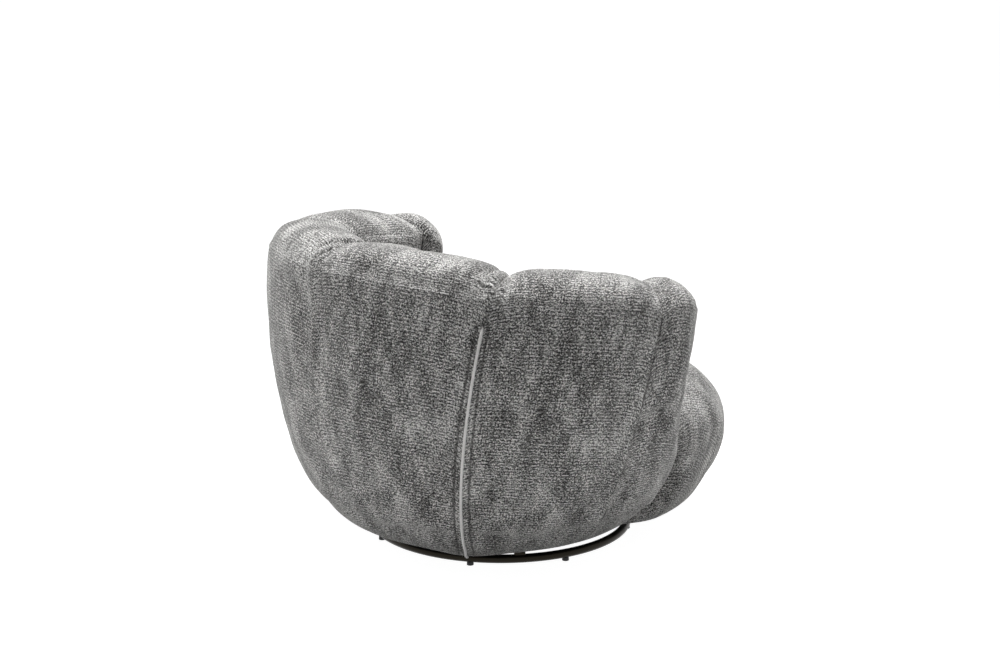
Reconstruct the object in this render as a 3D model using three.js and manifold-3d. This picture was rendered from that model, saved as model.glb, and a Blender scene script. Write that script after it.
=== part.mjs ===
import * as THREE from 'three';
import { mergeVertices } from 'three/addons/utils/BufferGeometryUtils.js';
import Module from 'manifold-3d';

const wasm = await Module();
wasm.setup();

// A swivelling cuddle chair in millimetres. +Z is up, the sitter faces -Y,
// and the origin is on the floor under the swivel axis.

// Gaps
const clearance = 0.4; // between pieces that touch
const creaseGap = 1.6; // between the wall cushions, along the crest line
const creaseOverlap = 1; // by which the cutting copies of those cushions run into each other
const runningGap = 0.3; // between the balls and their races
const cutOverrun = 5; // how far a cutting body runs past what it cuts

// Floor ring and its cross arms
const ringRadius = 300; // centreline of the tube
const ringTube = 20; // tube diameter
const glideDiameter = 16;
const glideHeight = 7; // what shows under the tube
const glideAngleOffsets = [21.3, 75, 157.5]; // degrees from one cross arm, on both sides
const armWidth = 25;
const armThickness = 8;
const baseTurn = 150; // degrees that the base stands turned under the seat

// Swivel plates, ball race and centre pivot
const plateSize = 170;
const plateThickness = 3;
const ballDiameter = 12;
const ballCount = 8;
const raceRadius = 55;
const raceDepth = 1.4; // how far the balls sit into each plate
const cageThickness = 3;
const cageWidth = 22;
const pivotDiameter = 24;
const pivotFlange = 40;
const pivotFlangeThickness = 3;
const boltDiameter = 8;
const boltHead = 15;
const boltHeadHeight = 3.4;
const boltEnd = 5; // what a bolt shows past the arm or into the board
const lowerBoltRadius = 74; // on the cross arms
const upperBoltReach = 66; // corner bolts of the upper plate, from each centreline

// Plan of the tub: the crest line of the wall is an ellipse
const crestHalfWidth = 475;
const crestHalfDepth = 455;
const tubCentreY = -30;
const footSetBack = 84; // how far back the foot of the wall stands under its crest
const wallThickness = 200;
const backCrestHeight = 752;
const sideCrestHeight = 682;
const crestSwell = 4; // extra height half way along the crest
const creaseAngles = [0, 48, 91]; // degrees from the back, at the crest
const footCreaseAngles = [0, 41, 85]; // the same creases at the foot of the wall
const creaseLeans = [0, 3, 5]; // degrees by which each crease falls back at the outer shoulder
const armEndAngle = 105.5;
const footArmEndAngle = 132;
const armEndPower = 2.4; // how late on its way down the front of the arm runs forward
const crownRise = 61; // shoulder to crest
const undercut = 269; // how far the outside draws in below the shoulder
const undercutPower = 1.78;
const bellyFloor = 46; // height where that curve would end
const footSpread = 105; // how far the inside spreads in at the foot
const footSpreadHeight = 330;
const creaseDepthCrest = 39;
const creaseDepthOuter = 26;
const creaseDepthInner = 34;
const creaseDepthFoot = 3;
const creaseFadePower = 5; // how soon a crease fades below the outer shoulder
const armEndLength = 130; // over which the arm thins out to its front
const armEndShare = 0.88; // of its thickness that it loses there
const armEndDrop = 84; // and of its height
const armEndSquareness = 1.9;
const bulgePower = 2.6;
const slopeStep = 1; // height over which a slope is measured

// Seat cushion
const seatFrontHalfWidth = 440; // in front of the arms
const seatBackHalfWidth = 388; // between them
const seatBackReach = 360; // from the tub centre
const seatFrontReach = 507;
const seatOutlinePower = 2.35;
const seatEdgeHeight = 401;
const seatCrown = 22;
const seatBellyHeight = 271;
const seatRoll = 190;
const seatRollPower = 1.71;
const seatUndercut = 117;
const seatUndercutPower = 1.86;

// Timber and webbing inside
const boardThickness = 18;
const boardHalfWidth = 314;
const boardBackReach = 286; // from the centre of the foot
const boardFrontReach = 436;
const hoopHalfWidth = 250;
const hoopBackReach = 288;
const hoopFrontReach = 345;
const hoopThickness = 18;
const hoopHeight = 150;
const strapWidth = 60;
const strapThickness = 2;
const lengthStrapPitch = 90;
const crossStrapPitch = 160;
const ribThickness = 18;
const ribWidth = 50;
const ribCover = 42; // padding outside a rib
const railDiameter = 28;
const railDrop = 172; // crest to the centre of the top rail
const railEndAngle = 96;
const dustCoverThickness = 1.2;
const dustCoverOverlap = 6;
const dustCoverHole = 200;

// Closing seams
const weltDiameter = 6;

// Mesh fineness
const ringSteps = 48;
const raceSteps = 32;
const tubeSides = 8;
const smallSides = 12;
const wallRows = 10;
const undercutSteps = 8;
const crownSteps = 4;
const seatSides = 40;
const seatSteps = 6;
const ribSteps = 6;
const railSides = 8;
const railSteps = 36;
const weltSides = 6;
const weltSteps = 14;

const steel = { color: 0x17161a, roughness: 0.5, metalness: 0.6 };
const zinc = { color: 0x8f9296, roughness: 0.35, metalness: 0.9 };
const timber = { color: 0xb48a5a, roughness: 0.8, metalness: 0 };
const chenille = { color: 0x7d7c7b, roughness: 0.95, metalness: 0 };
const lining = { color: 0x151515, roughness: 0.95, metalness: 0 };
const softPlastic = { color: 0x1b1b1c, roughness: 0.7, metalness: 0 };
const elastic = { color: 0x2b2b2e, roughness: 0.9, metalness: 0 };

const radians = THREE.MathUtils.degToRad;
const group = new THREE.Group();
const baseGroup = new THREE.Group();
baseGroup.rotation.z = radians(baseTurn);
group.add(baseGroup);

// Heights, from the floor up
const ringHeight = glideHeight + ringTube / 2;
const armBottom = ringHeight + ringTube / 2 + clearance;
const lowerPlateBottom = armBottom + armThickness + clearance;
const lowerPlateTop = lowerPlateBottom + plateThickness;
const plateSpace = ballDiameter + 2 * runningGap - 2 * raceDepth;
const ballHeight = lowerPlateTop + plateSpace / 2;
const upperPlateBottom = lowerPlateTop + plateSpace;
const upperPlateTop = upperPlateBottom + plateThickness;
const boardBottom = upperPlateTop + clearance;
const boardTop = boardBottom + boardThickness;
const hoopBottom = boardTop + clearance;
const hoopTop = hoopBottom + hoopHeight;
const strapLevel = hoopTop + clearance;
const crossStrapLevel = strapLevel + strapThickness + clearance;
const cavityTop = crossStrapLevel + strapThickness + clearance;

function addMesh(parent, name, geometry, look) {
  const mesh = new THREE.Mesh(geometry, new THREE.MeshStandardMaterial(look));
  mesh.name = name;
  parent.add(mesh);
  return mesh;
}

// Solids and geometries

const mergeDistance = 1e-4;

function toSolid(geometry) {
  const plain = geometry.clone();
  plain.deleteAttribute('normal');
  plain.deleteAttribute('uv');
  const merged = mergeVertices(plain, mergeDistance);
  return new wasm.Manifold(new wasm.Mesh({
    numProp: 3,
    vertProperties: Float32Array.from(merged.attributes.position.array),
    triVerts: Uint32Array.from(merged.index.array),
  }));
}

function toGeometry(solid) {
  const { vertProperties, triVerts } = solid.getMesh();
  const geometry = new THREE.BufferGeometry();
  geometry.setAttribute('position', new THREE.BufferAttribute(vertProperties, 3));
  geometry.setIndex(new THREE.BufferAttribute(triVerts, 1));
  return geometry;
}

function cut(geometry, ...cutters) {
  let solid = toSolid(geometry);
  for (const cutter of cutters) {
    solid = solid.subtract(toSolid(cutter));
  }
  return toGeometry(solid);
}

function join(first, ...others) {
  let solid = toSolid(first);
  for (const other of others) {
    solid = solid.add(toSolid(other));
  }
  return toGeometry(solid);
}

// An upright cylinder between two heights
function post(radius, bottom, top, sides) {
  const geometry = new THREE.CylinderGeometry(radius, radius, top - bottom, sides);
  geometry.rotateX(Math.PI / 2);
  geometry.translate(0, 0, (top + bottom) / 2);
  return geometry;
}

function box(width, depth, bottom, top) {
  const geometry = new THREE.BoxGeometry(width, depth, top - bottom);
  geometry.translate(0, 0, (top + bottom) / 2);
  return geometry;
}

// A flat outline raised between two heights
function prism(outline, bottom, top) {
  const shape = new THREE.Shape(outline);
  const geometry = new THREE.ExtrudeGeometry(shape, { depth: top - bottom, bevelEnabled: false });
  geometry.translate(0, 0, bottom);
  return geometry;
}

// A tube of round section along a curve
function tube(curve, diameter, sides, steps) {
  const circle = new THREE.Shape();
  for (let i = 0; i < sides; i++) {
    const turn = i * 2 * Math.PI / sides;
    const x = diameter / 2 * Math.cos(turn);
    const y = diameter / 2 * Math.sin(turn);
    if (i === 0) circle.moveTo(x, y);
    else circle.lineTo(x, y);
  }
  return new THREE.ExtrudeGeometry(circle, { steps, bevelEnabled: false, extrudePath: curve });
}

// A closed body from rows of points. Each row is a closed loop of as many points.
function loft(rows, triangulateEnd, flipped) {
  const perRow = rows[0].length;
  const positions = rows.flat().flatMap((point) => [point.x, point.y, point.z]);
  const index = [];
  const corner = (row, i) => row * perRow + (i % perRow);
  for (let row = 0; row + 1 < rows.length; row++) {
    for (let i = 0; i < perRow; i++) {
      index.push(corner(row, i), corner(row, i + 1), corner(row + 1, i + 1));
      index.push(corner(row, i), corner(row + 1, i + 1), corner(row + 1, i));
    }
  }
  for (const [a, b, c] of triangulateEnd(perRow)) {
    index.push(corner(0, c), corner(0, b), corner(0, a));
    index.push(corner(rows.length - 1, a), corner(rows.length - 1, b), corner(rows.length - 1, c));
  }
  if (flipped) index.reverse();
  const geometry = new THREE.BufferGeometry();
  geometry.setAttribute('position', new THREE.Float32BufferAttribute(positions, 3));
  geometry.setIndex(index);
  return geometry;
}

// Ends closed by a strip from one side of the loop to the other
function stripEnd(perRow) {
  const triangles = [];
  for (let low = 0, high = perRow - 1; high - low > 1; low++, high--) {
    triangles.push([low, low + 1, high]);
    if (high - low > 2) triangles.push([low + 1, high - 1, high]);
  }
  return triangles;
}

// Ends closed by a fan about the loop's first point
function fanEnd(perRow) {
  const triangles = [];
  for (let i = 1; i + 1 < perRow; i++) triangles.push([0, i, i + 1]);
  return triangles;
}

// Floor ring, cross arms and glides

const ring = new THREE.TorusGeometry(ringRadius, ringTube / 2, tubeSides, ringSteps);
ring.translate(0, 0, ringHeight);
addMesh(baseGroup, 'floor_ring', ring, steel);

const armReach = ringRadius + ringTube / 2;
const boltHoleRadius = boltDiameter / 2 + clearance;

function armBolt(angle) {
  const hole = post(boltHoleRadius, armBottom - cutOverrun, upperPlateTop, smallSides);
  hole.translate(lowerBoltRadius * Math.cos(angle), lowerBoltRadius * Math.sin(angle), 0);
  return hole;
}

const longArm = box(2 * armReach, armWidth, armBottom, armBottom + armThickness);
addMesh(baseGroup, 'cross_arm_long', cut(longArm, armBolt(0), armBolt(Math.PI)), steel);

const halfArmLength = armReach - armWidth / 2 - clearance;
for (const [name, turn] of [['cross_arm_half_a', Math.PI / 2], ['cross_arm_half_b', -Math.PI / 2]]) {
  const halfArm = box(halfArmLength, armWidth, armBottom, armBottom + armThickness);
  halfArm.translate(armReach - halfArmLength / 2, 0, 0);
  halfArm.rotateZ(turn);
  addMesh(baseGroup, name, cut(halfArm, armBolt(turn)), steel);
}

const glideSocket = new THREE.TorusGeometry(ringRadius, ringTube / 2 + clearance, tubeSides, ringSteps);
glideSocket.translate(0, 0, ringHeight);
let glideNumber = 1;
for (const offset of glideAngleOffsets) {
  for (const side of [1, -1]) {
    const glide = post(glideDiameter / 2, 0, ringHeight, smallSides);
    glide.translate(ringRadius, 0, 0);
    glide.rotateZ(side * radians(offset));
    addMesh(baseGroup, `foot_glide_${glideNumber}`, cut(glide, glideSocket), softPlastic);
    glideNumber++;
  }
}

// Swivel: lower plate on the arms, ball cage, upper plate under the board

const raceTube = (ballDiameter / 2 + runningGap) / Math.cos(Math.PI / tubeSides);
const race = new THREE.TorusGeometry(raceRadius, raceTube, tubeSides, raceSteps);
race.translate(0, 0, ballHeight);
const pivotHole = post(pivotDiameter / 2 + clearance, 0, boardBottom, 2 * smallSides);

const lowerPlate = box(plateSize, plateSize, lowerPlateBottom, lowerPlateTop);
const quarterTurns = [0, 1, 2, 3].map((i) => i * Math.PI / 2);
addMesh(baseGroup, 'swivel_lower_plate', cut(lowerPlate, race, pivotHole, ...quarterTurns.map(armBolt)), zinc);

function bolt(headBottom, headTop, shankBottom, shankTop) {
  const head = post(boltHead / 2, headBottom, headTop, smallSides);
  return join(head, post(boltDiameter / 2, shankBottom, shankTop, smallSides));
}

quarterTurns.forEach((turn, i) => {
  const headBottom = lowerPlateTop + clearance;
  const armBolted = bolt(headBottom, headBottom + boltHeadHeight, armBottom - boltEnd, headBottom + boltHeadHeight);
  armBolted.translate(lowerBoltRadius * Math.cos(turn), lowerBoltRadius * Math.sin(turn), 0);
  addMesh(baseGroup, `arm_bolt_${i + 1}`, armBolted, zinc);
});

// The pivot is a riveted spool through both plates
const pivotLow = lowerPlateBottom - clearance;
const pivotHigh = upperPlateTop + clearance;
const pivotProfile = [
  [0, pivotLow],
  [pivotDiameter / 2, pivotLow],
  [pivotDiameter / 2, pivotHigh],
  [pivotFlange / 2, pivotHigh],
  [pivotFlange / 2, pivotHigh + pivotFlangeThickness],
  [0, pivotHigh + pivotFlangeThickness],
].map(([x, y]) => new THREE.Vector2(x, y));
const pivot = new THREE.LatheGeometry(pivotProfile, 2 * smallSides);
pivot.rotateX(Math.PI / 2);
addMesh(baseGroup, 'centre_pivot', pivot, zinc);

const cageHole = post(raceRadius - cageWidth / 2, 0, boardBottom, raceSteps);
const cagePocketRadius = ballDiameter / 2 + clearance;
const cageBlank = post(raceRadius + cageWidth / 2, ballHeight - cageThickness / 2, ballHeight + cageThickness / 2, raceSteps);
const ballTurns = Array.from({ length: ballCount }, (_, i) => (i + 0.5) * 2 * Math.PI / ballCount);
const pockets = ballTurns.map((turn) => {
  const pocket = post(cagePocketRadius, 0, boardBottom, smallSides);
  pocket.translate(raceRadius * Math.cos(turn), raceRadius * Math.sin(turn), 0);
  return pocket;
});
addMesh(group, 'ball_cage', cut(cageBlank, cageHole, ...pockets), zinc);
ballTurns.forEach((turn, i) => {
  const ball = new THREE.SphereGeometry(ballDiameter / 2, tubeSides, tubeSides - 2);
  ball.translate(raceRadius * Math.cos(turn), raceRadius * Math.sin(turn), ballHeight);
  addMesh(group, `bearing_ball_${i + 1}`, ball, zinc);
});

const upperCorners = [[1, 1], [-1, 1], [-1, -1], [1, -1]];
const upperBoltHoles = upperCorners.map(([sx, sy]) => {
  const hole = post(boltHoleRadius, upperPlateBottom - cutOverrun, boardBottom + boltEnd + clearance, smallSides);
  hole.translate(sx * upperBoltReach, sy * upperBoltReach, 0);
  return hole;
});
const upperPlate = box(plateSize, plateSize, upperPlateBottom, upperPlateTop);
addMesh(group, 'swivel_upper_plate', cut(upperPlate, race, pivotHole, ...upperBoltHoles), zinc);
upperCorners.forEach(([sx, sy], i) => {
  const headTop = upperPlateBottom - clearance;
  const plateBolt = bolt(headTop - boltHeadHeight, headTop, headTop - boltHeadHeight, boardBottom + boltEnd);
  plateBolt.translate(sx * upperBoltReach, sy * upperBoltReach, 0);
  addMesh(group, `plate_bolt_${i + 1}`, plateBolt, zinc);
});

// Outlines of ovals that reach back and forward by different lengths

function oval(halfWidth, backReach, frontReach, centreY, sides) {
  const outline = [];
  for (let i = 0; i < sides; i++) {
    const turn = i * 2 * Math.PI / sides;
    const reach = Math.sin(turn) > 0 ? backReach : frontReach;
    outline.push(new THREE.Vector2(halfWidth * Math.cos(turn), centreY + reach * Math.sin(turn)));
  }
  return outline;
}

// Base board, with the dust cover stapled under it

const footCentreY = tubCentreY + footSetBack;

function boardOutline(grow) {
  return oval(boardHalfWidth + grow, boardBackReach + grow, boardFrontReach + grow, footCentreY, ringSteps);
}

const board = prism(boardOutline(0), boardBottom, boardTop);
const flangeHole = post(pivotFlange / 2 + clearance, 0, boardTop + cutOverrun, 2 * smallSides);
addMesh(group, 'base_board', cut(board, flangeHole, ...upperBoltHoles), timber);
const boardCutter = prism(boardOutline(clearance), 0, boardTop + clearance);

const coverTop = boardBottom - clearance;
const cover = prism(boardOutline(dustCoverOverlap), coverTop - dustCoverThickness, coverTop);
const coverHole = box(dustCoverHole, dustCoverHole, 0, boardBottom);
addMesh(group, 'dust_cover', cut(cover, coverHole), lining);

// Seat: bent hoop, webbing and the cushion over them

function hoopOutline(grow) {
  return oval(hoopHalfWidth + grow, hoopBackReach + grow, hoopFrontReach + grow, tubCentreY, ringSteps);
}

const hoopInside = prism(hoopOutline(-hoopThickness), hoopBottom - cutOverrun, hoopTop + cutOverrun);
addMesh(group, 'seat_hoop', cut(prism(hoopOutline(0), hoopBottom, hoopTop), hoopInside), timber);

// How far the middle of the hoop reaches at a distance from its axis, along the other axis
function hoopReach(reach, acrossReach, distance) {
  const share = distance / (acrossReach - hoopThickness / 2);
  return (reach - hoopThickness / 2) * Math.sqrt(1 - share * share);
}

for (let i = -2; i <= 2; i++) {
  const outerEdge = Math.abs(i) * lengthStrapPitch + strapWidth / 2;
  const back = hoopReach(hoopBackReach, hoopHalfWidth, outerEdge);
  const front = hoopReach(hoopFrontReach, hoopHalfWidth, outerEdge);
  const strap = box(strapWidth, back + front, strapLevel, strapLevel + strapThickness);
  strap.translate(i * lengthStrapPitch, tubCentreY + (back - front) / 2, 0);
  addMesh(group, `webbing_length_${i + 3}`, strap, elastic);
}
for (let i = -1; i <= 1; i++) {
  const acrossReach = i > 0 ? hoopBackReach : hoopFrontReach;
  const side = hoopReach(hoopHalfWidth, acrossReach, Math.abs(i) * crossStrapPitch + strapWidth / 2);
  const strap = box(2 * side, strapWidth, crossStrapLevel, crossStrapLevel + strapThickness);
  strap.translate(0, tubCentreY + i * crossStrapPitch, 0);
  addMesh(group, `webbing_cross_${i + 2}`, strap, elastic);
}

// Cosine and sine bent towards a square by a power
function bent(value, power) {
  return Math.sign(value) * Math.abs(value) ** (2 / power);
}

// The cushion's side from its foot to its top edge: heights and how far each lies inside the outline
function seatSide() {
  const side = [];
  for (let i = 0; i <= seatSteps; i++) {
    const turn = Math.PI / 2 * i / seatSteps;
    const height = seatBellyHeight - (seatBellyHeight - boardBottom) * bent(Math.cos(turn), seatUndercutPower);
    side.push([height, seatUndercut * (1 - bent(Math.sin(turn), seatUndercutPower))]);
  }
  for (let i = 1; i <= seatSteps; i++) {
    const turn = Math.PI / 2 * i / seatSteps;
    const height = seatBellyHeight + (seatEdgeHeight - seatBellyHeight) * bent(Math.sin(turn), seatRollPower);
    side.push([height, seatRoll * (1 - bent(Math.cos(turn), seatRollPower))]);
  }
  return side;
}

const seatCrownShares = [0.72, 0.42, 0.12];
const seatWideningShare = 0.35; // of the way forward, where the cushion is at full width

function seatSolid() {
  const rows = seatSide().map(([height, inset]) => {
    const row = [];
    for (let i = 0; i < seatSides; i++) {
      const turn = i * 2 * Math.PI / seatSides;
      const forward = Math.max(0, -Math.sin(turn));
      const reach = forward > 0 ? seatFrontReach : seatBackReach;
      const widening = THREE.MathUtils.smoothstep(forward, 0, seatWideningShare);
      const halfWidth = THREE.MathUtils.lerp(seatBackHalfWidth, seatFrontHalfWidth, widening);
      const x = (halfWidth - inset) * bent(Math.cos(turn), seatOutlinePower);
      const y = tubCentreY + (reach - inset) * bent(Math.sin(turn), seatOutlinePower);
      row.push(new THREE.Vector3(x, y, height));
    }
    return row;
  });
  const rim = rows[rows.length - 1];
  for (const share of seatCrownShares) {
    const height = seatEdgeHeight + seatCrown * (1 - share * share);
    rows.push(rim.map(({ x, y }) => new THREE.Vector3(x * share, tubCentreY + (y - tubCentreY) * share, height)));
  }
  return loft(rows, fanEnd, false);
}

// Wall of the tub

function crestHeight(degrees) {
  const turn = Math.PI * degrees / armEndAngle;
  const fall = (1 + Math.cos(turn)) / 2;
  return THREE.MathUtils.lerp(sideCrestHeight, backCrestHeight, fall) + crestSwell * Math.sin(turn);
}

// How far outside the crest line the wall's outer side lies at a height below the shoulder
function outerOffset(shoulder, height) {
  const drop = Math.max(0, (shoulder - height) / (shoulder - bellyFloor));
  return wallThickness / 2 - undercut * (1 - (1 - drop ** undercutPower) ** (1 / undercutPower));
}

function innerOffset(height) {
  const share = Math.max(0, (footSpreadHeight - height) / (footSpreadHeight - boardBottom));
  return -wallThickness / 2 - footSpread * share * share;
}

// The wall's section at an angle: offsets from the crest line, heights, inward normals, crease depths
// and the middle of the wall's thickness
function wallProfile(degrees) {
  const crest = crestHeight(degrees);
  const shoulder = crest - crownRise;
  const half = wallThickness / 2;
  const outer = [];
  const inner = [];
  for (let i = 0; i < undercutSteps; i++) {
    const height = shoulder - (shoulder - boardBottom) * Math.cos(Math.PI / 2 * i / undercutSteps);
    const offset = outerOffset(shoulder, height);
    const slope = outerOffset(shoulder, height + slopeStep) - offset;
    const middle = (offset + innerOffset(height)) / 2;
    const rise = Math.max(0, (height - boardBottom) / (shoulder - boardBottom));
    const depth = THREE.MathUtils.lerp(creaseDepthFoot, creaseDepthOuter, rise ** creaseFadePower);
    const normal = new THREE.Vector2(-slopeStep, slope).normalize();
    outer.push({ offset, height, normal, depth, middle });
    const innerDepth = creaseDepthInner * Math.sqrt(rise);
    inner.push({ offset: innerOffset(height), height, normal: new THREE.Vector2(1, 0), depth: innerDepth, middle });
  }
  for (let i = 0; i < crownSteps; i++) {
    const turn = Math.PI / 2 * i / crownSteps;
    const height = shoulder + crownRise * Math.sin(turn);
    const across = Math.cos(turn) / half;
    const down = -Math.sin(turn) / crownRise;
    const crown = Math.sin(turn) ** 2;
    for (const [list, side, depth] of [[outer, 1, creaseDepthOuter], [inner, -1, creaseDepthInner]]) {
      list.push({
        offset: side * half * Math.cos(turn),
        height,
        normal: new THREE.Vector2(-side * across, down).normalize(),
        depth: THREE.MathUtils.lerp(depth, creaseDepthCrest, crown),
        middle: 0,
      });
    }
  }
  const top = { offset: 0, height: crest, normal: new THREE.Vector2(0, -1), depth: creaseDepthCrest, middle: 0 };
  return [...outer, top, ...inner.reverse()];
}

// How far up the wall a height is, from 0 at the foot to 1 at the lowest shoulder
function wallRise(height) {
  return THREE.MathUtils.clamp((height - boardBottom) / (sideCrestHeight - crownRise - boardBottom), 0, 1);
}

// From a place along and across the wall to a point in space
function wallPoint(side, degrees, offset, height) {
  const turn = radians(degrees);
  const normal = new THREE.Vector2(Math.sin(turn) / crestHalfWidth, Math.cos(turn) / crestHalfDepth).normalize();
  const x = crestHalfWidth * Math.sin(turn) + normal.x * offset;
  const y = tubCentreY + crestHalfDepth * Math.cos(turn) + normal.y * offset;
  return new THREE.Vector3(side * x, y + footSetBack * (1 - wallRise(height)), height);
}

// The angle of a crease falls back towards the foot of the wall, and towards its outside
function creaseAngle(number, height, offset) {
  const angle = THREE.MathUtils.lerp(footCreaseAngles[number], creaseAngles[number], wallRise(height));
  return angle - creaseLeans[number] * THREE.MathUtils.clamp(2 * offset / wallThickness, -1, 1);
}

function degreesFor(length) {
  return THREE.MathUtils.radToDeg(length / crestHalfDepth);
}

// One cushion of the wall, from one crease to the next or to the front of the arm
function wallCushion(side, number, grow, gap) {
  const isArm = number === creaseAngles.length - 1;
  const farAngle = isArm ? armEndAngle : creaseAngles[number + 1];
  const rows = [];
  for (let row = 0; row <= wallRows; row++) {
    const along = Math.sin(Math.PI / 2 * (2 * row / wallRows - 1));
    const bulge = 1 - (1 - Math.abs(along) ** bulgePower) ** (1 / bulgePower);
    const section = wallProfile(THREE.MathUtils.lerp(creaseAngles[number], farAngle, (1 + along) / 2));
    rows.push(section.map(({ offset, height, normal, depth, middle }) => {
      const rise = wallRise(height);
      const start = creaseAngle(number, height, offset) + degreesFor(gap / 2);
      const end = isArm
        ? THREE.MathUtils.lerp(armEndAngle, footArmEndAngle, (1 - rise) ** armEndPower) + degreesFor(grow)
        : creaseAngle(number + 1, height, offset) - degreesFor(gap / 2);
      const inset = isArm && along > 0 ? 0 : depth * bulge;
      let across = offset + normal.x * inset;
      let level = height + normal.y * inset;
      if (isArm) {
        const span = radians(end - start) * crestHalfWidth;
        const toEnd = (1 - along) / 2 * span;
        const left = Math.max(0, 1 - toEnd / Math.min(armEndLength, span));
        const thinning = 1 - (1 - left ** armEndSquareness) ** (1 / armEndSquareness);
        across = THREE.MathUtils.lerp(across, middle, armEndShare * thinning);
        level -= armEndDrop * thinning * rise * rise;
      }
      level = Math.max(boardBottom, level - normal.y * grow);
      return wallPoint(side, THREE.MathUtils.lerp(start, end, (1 + along) / 2), across - normal.x * grow, level);
    }));
  }
  return loft(rows, stripEnd, side < 0);
}

function ribOffset(shoulder, height) {
  return outerOffset(shoulder, height) - ribCover - ribWidth / 2;
}

function railPoint(side, degrees) {
  const shoulder = crestHeight(degrees) - crownRise;
  const height = crestHeight(degrees) - railDrop;
  return wallPoint(side, degrees, ribOffset(shoulder, height), height);
}

class CrestRail extends THREE.Curve {
  getPoint(t, target = new THREE.Vector3()) {
    const degrees = THREE.MathUtils.lerp(-railEndAngle, railEndAngle, t);
    const side = Math.sign(degrees) || 1;
    return target.copy(railPoint(side, Math.abs(degrees)));
  }
}

const rail = tube(new CrestRail(), railDiameter, railSides, railSteps);
addMesh(group, 'top_rail', rail, timber);

const railTunnel = tube(new CrestRail(), railDiameter + 2 * clearance, railSides, railSteps);

// A plywood rib follows the outside of the wall from the board to the rail
function rib(side, crestAngle, footAngle, grow) {
  const shoulder = crestHeight(crestAngle) - crownRise;
  const foot = boardTop + clearance;
  const top = crestHeight(crestAngle) - railDrop;
  const rows = [];
  for (let i = 0; i <= ribSteps; i++) {
    const share = i / ribSteps;
    const height = THREE.MathUtils.lerp(foot, top, share);
    const degrees = THREE.MathUtils.lerp(footAngle, crestAngle, wallRise(height));
    const offset = ribOffset(shoulder, height);
    const centre = wallPoint(side, degrees, offset, height);
    const outward = wallPoint(side, degrees, offset + 1, height).sub(centre);
    const along = new THREE.Vector3(-outward.y, outward.x, 0);
    const level = i === 0 ? -grow : (i === ribSteps ? grow : 0);
    rows.push([[-1, -1], [1, -1], [1, 1], [-1, 1]].map(([across, beside]) => centre.clone()
      .addScaledVector(outward, across * (ribWidth / 2 + grow))
      .addScaledVector(along, beside * (ribThickness / 2 + grow))
      .add(new THREE.Vector3(0, 0, level))));
  }
  return loft(rows, fanEnd, false);
}

const ribPlaces = [['back_rib', 1, 0, 0]];
for (const [sideName, side] of [['left', 1], ['right', -1]]) {
  ribPlaces.push([`${sideName}_quarter_rib`, side, creaseAngles[1], footCreaseAngles[1]]);
  ribPlaces.push([`${sideName}_side_rib`, side, creaseAngles[2], footCreaseAngles[2]]);
}
for (const [name, side, crestAngle, footAngle] of ribPlaces) {
  addMesh(group, name, cut(rib(side, crestAngle, footAngle, 0), railTunnel), timber);
}
const frameCutters = [
  railTunnel,
  ...ribPlaces.map(([, side, crestAngle, footAngle]) => rib(side, crestAngle, footAngle, 2 * clearance)),
];

// Closing seam: a welt down the crease between the back and side cushions

class SeamLine extends THREE.Curve {
  constructor(side) {
    super();
    this.side = side;
    this.profile = wallProfile(creaseAngles[1]).slice(0, undercutSteps + 1);
  }

  getPoint(t, target = new THREE.Vector3()) {
    const place = t * (this.profile.length - 1);
    const lower = Math.min(Math.floor(place), this.profile.length - 2);
    const blend = place - lower;
    const at = (key) => THREE.MathUtils.lerp(this.profile[lower][key], this.profile[lower + 1][key], blend);
    const height = at('height');
    const offset = at('offset') - at('depth') + weltDiameter / 2;
    return target.copy(wallPoint(this.side, creaseAngle(1, height, at('offset')), offset, height));
  }
}

function welt(side, diameter) {
  return tube(new SeamLine(side), diameter, weltSides, weltSteps);
}

// Padding of the wall

const cavity = prism(hoopOutline(clearance), 0, cavityTop);
const cushionNames = ['back', 'side', 'arm'];
const wallCutters = [];
for (const [sideName, side] of [['left', 1], ['right', -1]]) {
  const weltTunnel = welt(side, weltDiameter + 2 * clearance);
  cushionNames.forEach((cushionName, number) => {
    const cutters = [boardCutter, cavity, ...frameCutters];
    if (number < cushionNames.length - 1) cutters.push(weltTunnel);
    addMesh(group, `${cushionName}_cushion_${sideName}`, cut(wallCushion(side, number, 0, creaseGap), ...cutters), chenille);
    wallCutters.push(wallCushion(side, number, clearance, -creaseOverlap));
  });
  addMesh(group, `closing_welt_${sideName}`, welt(side, weltDiameter), chenille);
}

const seatCutters = [cavity, boardCutter, ...wallCutters, ...frameCutters];
addMesh(group, 'seat_cushion', cut(seatSolid(), ...seatCutters), chenille);

export default group;
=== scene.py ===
import math

import bmesh
import bpy
import numpy as np
from mathutils import Matrix, Vector, noise


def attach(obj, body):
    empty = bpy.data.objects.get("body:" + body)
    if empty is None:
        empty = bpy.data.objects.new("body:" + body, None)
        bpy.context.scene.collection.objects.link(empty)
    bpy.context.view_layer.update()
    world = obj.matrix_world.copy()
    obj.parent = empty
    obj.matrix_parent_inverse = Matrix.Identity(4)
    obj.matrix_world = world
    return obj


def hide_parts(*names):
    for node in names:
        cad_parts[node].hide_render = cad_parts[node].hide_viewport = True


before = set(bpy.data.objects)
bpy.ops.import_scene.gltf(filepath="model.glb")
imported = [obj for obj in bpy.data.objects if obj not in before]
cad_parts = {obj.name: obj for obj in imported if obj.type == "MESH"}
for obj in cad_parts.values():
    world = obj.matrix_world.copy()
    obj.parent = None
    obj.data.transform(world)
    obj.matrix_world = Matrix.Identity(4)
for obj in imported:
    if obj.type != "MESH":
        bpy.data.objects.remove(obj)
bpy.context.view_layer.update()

# A swivelling cuddle chair. Metres, +Z up, the sitter faces -Y.


# Camera

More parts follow.
